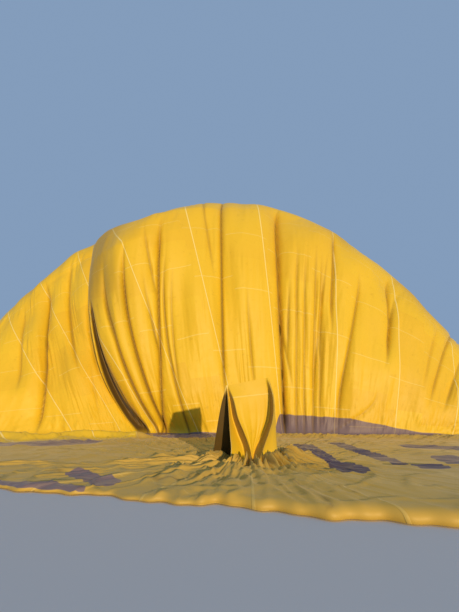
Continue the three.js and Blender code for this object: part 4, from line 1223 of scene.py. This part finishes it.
angles = np.arange(COVER_SIDES) / COVER_SIDES * 2 * math.pi
zip_side = np.abs((angles + math.pi / 2) % (2 * math.pi) - math.pi)
for corner, (sx, sy) in UPRIGHTS.items():
    name = f"upright_{corner}"
    signs = np.array([sx, sy, 1.0])
    foot = signs * UPRIGHT_FOOT + (*BASKET, 0.0)
    head = signs * UPRIGHT_HEAD + (*BASKET, 0.0)
    outward = np.array([sx, sy, 0.0]) / math.sqrt(2)
    t = np.linspace(0, 1, COVER_STEPS)[:, None]
    profile = UPRIGHT_RADIUS - 0.0015 - 0.0030 * sum(bell(t, s, 0.022) for s in STRAPS_AT)
    profile -= 0.002 * ((t < HEM_LENGTH) | (t > 1 - HEM_LENGTH))
    profile[0] = profile[-1] = 0.020
    gathers = 0.0009 * np.sin(t * 90 + 2.0 * np.sin(angles + sx)) * np.sin(math.pi * t) ** 0.5
    radii = profile - np.abs(gathers) - 0.0022 * bell(zip_side, 0, 0.12)
    last_ring = range((COVER_STEPS - 1) * COVER_SIDES, COVER_STEPS * COVER_SIDES)
    faces = [*band_faces(COVER_STEPS, COVER_SIDES), tuple(range(COVER_SIDES))[::-1], tuple(last_ring)]
    points = along_rod(foot, head, outward, t, angles, radii)
    cover = mesh_object(f"{name}_cover", points, faces, cover_cloth)
    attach(cover, "balloon")
    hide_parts(name)
    straps = []
    for s in STRAPS_AT:
        half = STRAP_WIDTH / 2 / np.linalg.norm(head - foot)
        levels = np.array([s - half, s - half, s + half, s + half])[:, None]
        radii = np.array([0.0235, 0.0268, 0.0268, 0.0235])[:, None]
        points = along_rod(foot, head, outward, levels, angles, radii)
        straps.append(mesh_object("strap", points, band_faces(4, COVER_SIDES), strap_cloth))
    strap = joined(f"{name}_straps", straps)
    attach(strap, "balloon")
    t = np.linspace(HEM_LENGTH, 1 - HEM_LENGTH, ZIP_TEETH)
    swing = math.pi / 2 + np.where(np.arange(ZIP_TEETH) % 2, 0.09, -0.09)
    zip_route = along_rod(foot, head, outward, t, swing, 0.0258)
    zipped = swept(f"{name}_zip", [zip_route], 0.0014, strap_cloth, sides=4)
    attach(zipped, "balloon")


# Load frame and gimbal ring
# Welded stainless square tube with lugs at its corners, bolted to the heads of the uprights.
# The ring is a smaller frame of square tube inside it, which tilts on two stub pivots.
def brushed_finish(name, light, dark, roughness, stretch, heat=None):
    """Brushed metal; heat is the colour it has run to and the height in metres above which it has."""
    finish = Finish(name, metallic=1.0)
    where = finish.place()
    brushed = finish.noise(90.0, 4.0, where, stretch)
    smudged = finish.noise(9.0, 4.0, where)
    tone = finish.mix(light, dark, finish.step(brushed, 0.3, 0.75))
    tone = finish.mix(tone, tuple(c * 0.55 for c in dark), finish.step(smudged, 0.55, 0.8) * 0.5)
    if heat:
        blued, height = heat
        above = finish.step(finish.part(where, 2) + smudged * 0.09, height, height + 0.12)
        tone = finish.mix(tone, blued, above * 0.75)
    finish.colour(tone)
    finish.rough(roughness + brushed * 0.12 + smudged * 0.12)
    finish.bump(brushed, 0.0004)
    return finish


ring_steel = brushed_finish("gimbal_steel", (0.66, 0.66, 0.66), (0.48, 0.48, 0.49), 0.20, (4, 4, 1))
tube_steel = brushed_finish("load_frame_steel", (0.62, 0.62, 0.63), (0.44, 0.44, 0.45), 0.24, (1, 1, 6))
give("load_frame", tube_steel)
give("gimbal_ring", ring_steel)
FRAME_Z = 2.02
FRAME_HALF = (0.62, 0.48)
FRAME_TUBE_HALF = 0.020
MM = 0.001
bolt_steel = grained_finish("bolt_steel", (0.55, 0.55, 0.56), (0.34, 0.34, 0.35), (300.0, 3.0),
                            rough=(0.25, 0.2), metallic=1.0)


def turned(name, at, profile, finish, sides=24, run=(0, 0, 1), smooth=True):
    """A turned piece about a line: radius and distance along the line from a point, in millimetres."""
    run = np.array(run, float) / np.linalg.norm(run)
    side = np.cross(run, (0, 0, 1) if abs(run[2]) < 0.9 else (1, 0, 0))
    side /= np.linalg.norm(side)
    up = np.cross(run, side)
    turn = (np.arange(sides) / sides * 2 * math.pi)[:, None]
    rows = [np.array(at) + run * h * MM + r * MM * (np.cos(turn) * side + np.sin(turn) * up)
            for r, h in profile]
    faces = band_faces(len(profile), sides)[:, [0, 3, 2, 1]]
    return mesh_object(name, np.concatenate(rows), faces, finish, smooth)


def bolt(at, run, size):
    """Hexagon head on a washer, with the washer's face at a point and the head's size in millimetres."""
    washer = [(0.1 / size, 0.15), (1.15, 0.15), (1.15, 0)]
    head = [(0.1 / size, 0.8), (0.75, 0.8), (0.86, 0.72), (0.86, 0.14)]
    return [turned("washer", at, np.array(washer) * size, bolt_steel, 20, run),
            turned("head", at, np.array(head) * size, bolt_steel, 6, run, smooth=False)]


burner_middle = np.array([*BASKET, FRAME_Z])
frame_bolts = []
for sx, sy in UPRIGHTS.values():
    corner = burner_middle + (sx * FRAME_HALF[0], sy * FRAME_HALF[1], FRAME_TUBE_HALF)
    frame_bolts += bolt(corner, (0, 0, 1), 11)
for sy in (-1, 1):
    frame_bolts += bolt(burner_middle + (0, sy * (FRAME_HALF[1] + FRAME_TUBE_HALF), 0), (0, sy, 0), 10)
frame_trim = joined("load_frame_bolts", frame_bolts)
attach(frame_trim, "balloon")


# Burner
# Twin stainless cans round coils that boil the fuel, on a milled block with a blast valve to each can.
# The block tilts in the ring on two stub pivots.
can_steel = brushed_finish("burner_can_steel", (0.70, 0.70, 0.70), (0.52, 0.51, 0.50), 0.22, (1, 1, 9),
                           heat=((0.26, 0.19, 0.17), 2.28))
block_alloy = brushed_finish("milled_alloy", (0.66, 0.67, 0.68), (0.50, 0.51, 0.52), 0.30, (0.3, 6, 6))
coil_steel = brushed_finish("coil_tube", (0.50, 0.44, 0.38), (0.26, 0.22, 0.20), 0.32, (1, 1, 4))
lever_red = grained_finish("red_lever", (0.42, 0.022, 0.012), (0.28, 0.014, 0.010), (40.0, 4.0),
                           rough=(0.3, 0.2), constants={"Coat Weight": 0.5, "Coat Roughness": 0.15})


def gauge_finish():
    finish = Finish("gauge_face", constants={"Coat Weight": 1.0, "Coat Roughness": 0.04})
    finish.colour(finish.mix((0.72, 0.72, 0.68), (0.55, 0.55, 0.52), finish.noise(60.0, 3.0)))
    finish.rough(0.35 + finish.noise(120.0, 2.0) * 0.1)
    return finish


def round_route(angle, radius, height):
    """Points at angles round an upright line, at a distance from it and a height."""
    return np.stack(np.broadcast_arrays(radius * np.cos(angle), radius * np.sin(angle), height), -1)


gauge_white = gauge_finish()
give("burner_block", block_alloy)
CAN_X = 0.170
COIL_TURNS, COIL_STEPS = 5, 200
JETS, JET_RING = 10, 0.058
VALVE_X, FEED_X, GAUGE_X, BOLT_X = 0.245, 0.215, 0.085, 0.0405
can_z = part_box("burner_can_left")[0].z
# Side of a can: up the outside, over the rolled lip and down the inside
CAN_SIDE = [
    (0.1, 0), (112, 0), (120, 3), (123, 8), (146, 54), (149.2, 63), (149.2, 180), (150, 184), (150, 190),
    (149.2, 194), (149.2, 318), (150, 322), (150, 328), (148, 330), (145.5, 329), (145.2, 320), (145.2, 64),
    (142, 56), (118, 10), (112, 6), (0.1, 6),
]
JET_SIDE = [(4.5, 0), (4.5, 10), (2.5, 16), (0.1, 16)]
PILOT_SIDE = [(16, 0), (16, 45), (10, 60), (8, 62), (8, 30), (0.1, 30)]
VALVE_SIDE = [(24, 0), (24, 12), (18, 16), (18, 28), (12, 32), (0.1, 32)]
GAUGE_SIDE = [(9, 0), (9, 10), (27, 12), (29, 16), (29, 28), (26, 30), (25, 26)]
# Routes in millimetres, outward, back and up: from a blast valve's stem, and from the block to a can
LEVER_ROUTE = [(0, 0, 5), (0, -10, -12), (-6, -22, -45), (-10, -30, -85), (-10, -30, -120)]
FEED_ROUTE = [(0, 0, 0), (0, 20, 4), (-2, 40, 22), (-6, 48, 55), (-12, 40, 88), (-24, 20, 112)]
coil_routes, jet_pieces, fittings, lever_routes, feed_routes = [], [], [], [], []
for name, side in (("burner_can_left", -1), ("burner_can_right", 1)):
    middle = np.array([basket_x + side * CAN_X, basket_y, can_z])
    can = turned(f"{name}_shell", middle, CAN_SIDE, can_steel, 72)
    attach(can, "burner")
    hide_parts(name)
    t = np.linspace(0, 1, COIL_STEPS)
    for start, reach in ((0.0, 0.108), (math.pi, 0.090)):
        radius = mix(reach * 0.86, reach, smooth(0, 0.3, t))
        angle = t * COIL_TURNS * 2 * math.pi + start
        coil_routes.append(middle + round_route(angle, radius, 0.035 + t * 0.215))
    coil_routes.append(middle + round_route(np.linspace(0, 2 * math.pi, 48), JET_RING, 0.045))
    for at in middle + round_route(np.arange(JETS) / JETS * 2 * math.pi, JET_RING, 0.050):
        jet_pieces.append(turned("jet", at, JET_SIDE, bolt_steel, 8))
    jet_pieces.append(turned("pilot", middle + (0, 0, 0.012), PILOT_SIDE, bolt_steel, 20))
    valve = burner_middle + (side * VALVE_X, 0, 0)
    for face in (-1, 1):
        at = valve + (0, face * 0.034, 0)
        fittings.append(turned("valve", at, VALVE_SIDE, block_alloy, 24, (0, face, 0)))
    gauge = burner_middle + (side * GAUGE_X, -0.035, 0)
    fittings.append(turned("gauge", gauge, GAUGE_SIDE, bolt_steel, 32, (0, -1, 0)))
    fittings.append(turned("gauge_face", gauge, [(25.2, 26.2), (0.1, 26.2)], gauge_white, 32, (0, -1, 0)))
    for dx in (-BOLT_X, BOLT_X):
        fittings += bolt(burner_middle + (side * CAN_X + dx, 0, 0.030), (0, 0, 1), 6.5)
    for routes, start, route in (
        (lever_routes, (side * VALVE_X, -0.062, 0), LEVER_ROUTE),
        (feed_routes, (side * FEED_X, 0.046, 0.004), FEED_ROUTE),
    ):
        routes.append(burner_middle + start + np.array(route) * (side * MM, MM, MM))
for piece, kind in (
    (swept("burner_coils", coil_routes, 0.0070, coil_steel, sides=8), "steel"),
    (joined("burner_jets", jet_pieces), "steel"),
    (joined("burner_fittings", fittings), "alloy"),
    (swept("blast_levers", lever_routes, 0.0065, lever_red, sides=12), "red_paint"),
    (swept("burner_feed_pipes", feed_routes, 0.0055, bolt_steel, sides=10), "steel"),
):
    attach(piece, "burner")


# Karabiners and flying wires
# Steel snap links on the lugs of the load frame, each with a spring gate. Each holds five wire ropes,
# which are crimped together at the link and fan out to the mouth.
wire_steel = grained_finish("wire_rope", (0.52, 0.52, 0.53), (0.22, 0.22, 0.22),
                            (700.0, 2.0, None, (1.0, 1.0, 0.4)),
                            rough=(0.35, 0.25), bump=0.0005, metallic=1.0)
link_steel = brushed_finish("karabiner_steel", (0.60, 0.60, 0.61), (0.42, 0.42, 0.43), 0.22, (3, 3, 3))
SLEEVE_SIDE = [(5, 0), (7.6, 2), (7.6, 34), (5, 36)]
PIN_SIDE = [(0.1, 0), (3, 0), (3, 14), (0.1, 14)]
for corner in UPRIGHTS:
    karabiner = f"karabiner_{corner}"
    give(karabiner, link_steel)
    give(f"flying_wires_{corner}", wire_steel)
    low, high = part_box(karabiner)
    gate_at = np.array([(low.x + high.x) / 2, low.y + 0.005, (low.z + high.z) / 2])
    gate = joined(f"{karabiner}_gate", [
        turned("gate_sleeve", gate_at + (-0.020, 0, 0), SLEEVE_SIDE, bolt_steel, 18, (1, 0, 0)),
        turned("gate_pin", gate_at + (0.026, 0, -0.0070), PIN_SIDE, bolt_steel, 12),
    ])
    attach(gate, "balloon")


# Gas cylinders
# Steel cylinders in padded jackets, each with a guard collar round its valve and two straps round it.
JACKET_SIDE = [
    (0.1, 4), (120, 4), (128, 8), (146, 32), (147.5, 60), (147.5, 130), (144.5, 138), (147.5, 146),
    (147.8, 340), (145.5, 352), (147.8, 364), (147.8, 560), (145, 572), (147.6, 584), (147.2, 738),
    (143, 765), (128, 788), (107, 803), (93, 812), (86, 815), (0.1, 815),
]
COLLAR_SIDE = [(83.5, 814), (84.5, 818), (84.5, 884), (83, 888), (80, 888), (79, 884), (79, 814)]
STRAP_SIDE = [(144, -16), (149.2, -14), (149.2, 14), (144, 16)]
STEM_SIDE = [(18, 0), (18, 20), (12, 24), (12, 48), (7, 50), (7, 58), (0.1, 58)]
OUTLET_SIDE = [(9, 0), (9, 30), (13, 32), (13, 46), (7, 48), (0.1, 44)]
LEVEL_GAUGE_SIDE = [(18, 0), (21, 3), (21, 10), (19, 12)]
JACKET_SIDES = 56
STRAP_HEIGHTS = (0.24, 0.66)
WHEEL_RADIUS = 0.026
brass = brushed_finish("valve_brass", (0.62, 0.46, 0.20), (0.44, 0.31, 0.12), 0.28, (3, 3, 3))
floor_top_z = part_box("basket_floor")[1].z
wheel_turn = np.linspace(0, 2 * math.pi, 37)
for corner in UPRIGHTS:
    name = "gas_cylinder_" + corner
    low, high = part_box(name)
    centre = np.array([(low.x + high.x) / 2, (low.y + high.y) / 2, floor_top_z])
    inward = (*BASKET, floor_top_z) - centre
    inward /= np.linalg.norm(inward)
    jacket = turned(f"{name}_jacket", centre, JACKET_SIDE, cover_cloth, JACKET_SIDES)
    points = np.array([v.co for v in jacket.data.vertices]) - centre
    angle = np.arctan2(points[:, 1], points[:, 0])
    pucker = 1 + np.sin(angle * 14 + 6 * np.sin(points[:, 2] * 9))
    pucker *= (np.hypot(points[:, 0], points[:, 1]) > 0.1) * smooth(0.81, 0.70, points[:, 2])
    points[:, :2] *= 1 - 0.008 * pucker[:, None]
    jacket.data.vertices.foreach_set("co", (points + centre).ravel())
    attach(jacket, "balloon")
    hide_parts(name)
    stem = centre + (0, 0, 0.812)
    gauge = stem - 0.052 * inward
    valve = joined(f"{name}_valve", [
        turned("stem", stem, STEM_SIDE, brass, 20),
        turned("outlet", stem + 0.010 * inward + (0, 0, 0.034), OUTLET_SIDE, brass, 20, inward),
        turned("gauge", gauge, LEVEL_GAUGE_SIDE, bolt_steel, 28),
        turned("gauge_face", gauge, [(19, 11.5), (0.1, 11.5)], gauge_white, 28),
    ])
    wheel_middle = stem + (0, 0, 0.060)
    round_wheel = round_route(wheel_turn, WHEEL_RADIUS, 0)
    spokes = [wheel_middle + np.stack([0 * end, end]) for end in round_wheel[[0, 12, 24]]]
    wheel = swept(f"{name}_wheel", [wheel_middle + round_wheel, *spokes], 0.0038, lever_red, sides=10)
    bands = [turned("strap", centre + (0, 0, z), STRAP_SIDE, strap_cloth, JACKET_SIDES)
             for z in STRAP_HEIGHTS]
    for piece, kind in (
        (turned(f"{name}_collar", centre, COLLAR_SIDE, ring_steel, 48), "steel"),
        (valve, "steel"),
        (wheel, "red_paint"),
        (joined(f"{name}_straps", bands), "padding"),
    ):
        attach(piece, "balloon")


# Fire extinguisher
# Red steel bottle with a squeeze handle and a short nozzle, held to the wall by one band.
def bottle_finish():
    finish = Finish("bottle_red", constants={"Coat Weight": 0.8, "Coat Roughness": 0.08})
    chipped = finish.noise(34.0, 6.0)
    finish.colour(finish.mix((0.46, 0.016, 0.010), (0.30, 0.010, 0.008), finish.step(chipped, 0.52, 0.70)))
    finish.rough(0.22 + chipped * 0.2)
    return finish


BOTTLE_SIDE = [(0.1, 4), (40, 1.5), (46, 1.5), (49.5, 6), (49.7, 230), (49, 250), (44, 270), (34, 283),
               (22, 290), (19, 294), (0.1, 296)]
NECK_SIDE = [(17, 0), (17, 16), (14, 18), (14, 28), (0.1, 28)]
NOZZLE_SIDE = [(5.5, 0), (5.5, 18), (9, 30), (7, 32), (0.1, 24)]
DIAL_SIDE = [(9.5, 0), (10.5, 2), (10.5, 8), (0.1, 8)]
BAND_SIDE = [(48.5, -10), (50.6, -9), (50.6, 9), (48.5, 10)]
HANDLE_ROUTES = [[(0, 6, 24.5), (0, -22, 26.5), (0, -46, 21.0)],
                 [(0, 6, 33.0), (0, -20, 35.0), (0, -44, 34.0)]]
low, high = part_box("fire_extinguisher")
bottle_at = np.array([(low.x + high.x) / 2, (low.y + high.y) / 2, low.z])
bottle = turned("fire_extinguisher_bottle", bottle_at, BOTTLE_SIDE, bottle_finish(), 48)
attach(bottle, "balloon")
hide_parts("fire_extinguisher")
neck = bottle_at + (0, 0, 0.290)
head = joined("fire_extinguisher_head", [
    turned("neck", neck, NECK_SIDE, brass, 24),
    turned("nozzle", neck + (0, -0.010, 0.018), NOZZLE_SIDE, bolt_steel, 18, (0, -1, 0)),
    turned("gauge", neck + (0.012, 0, 0.012), DIAL_SIDE, gauge_white, 24, (1, 0, 0)),
])
handle = swept("fire_extinguisher_handle", neck + np.array(HANDLE_ROUTES) * MM, 0.0030, strap_cloth, sides=8)
band = turned("fire_extinguisher_band", bottle_at + (0, 0, 0.16), BAND_SIDE, ring_steel, 48)
for piece, kind in ((head, "steel"), (handle, "red_paint"), (band, "steel")):
    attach(piece, "balloon")

low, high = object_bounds()
{"cad": [list(cad_low), list(cad_high)], "visual": [list(low), list(high)]}
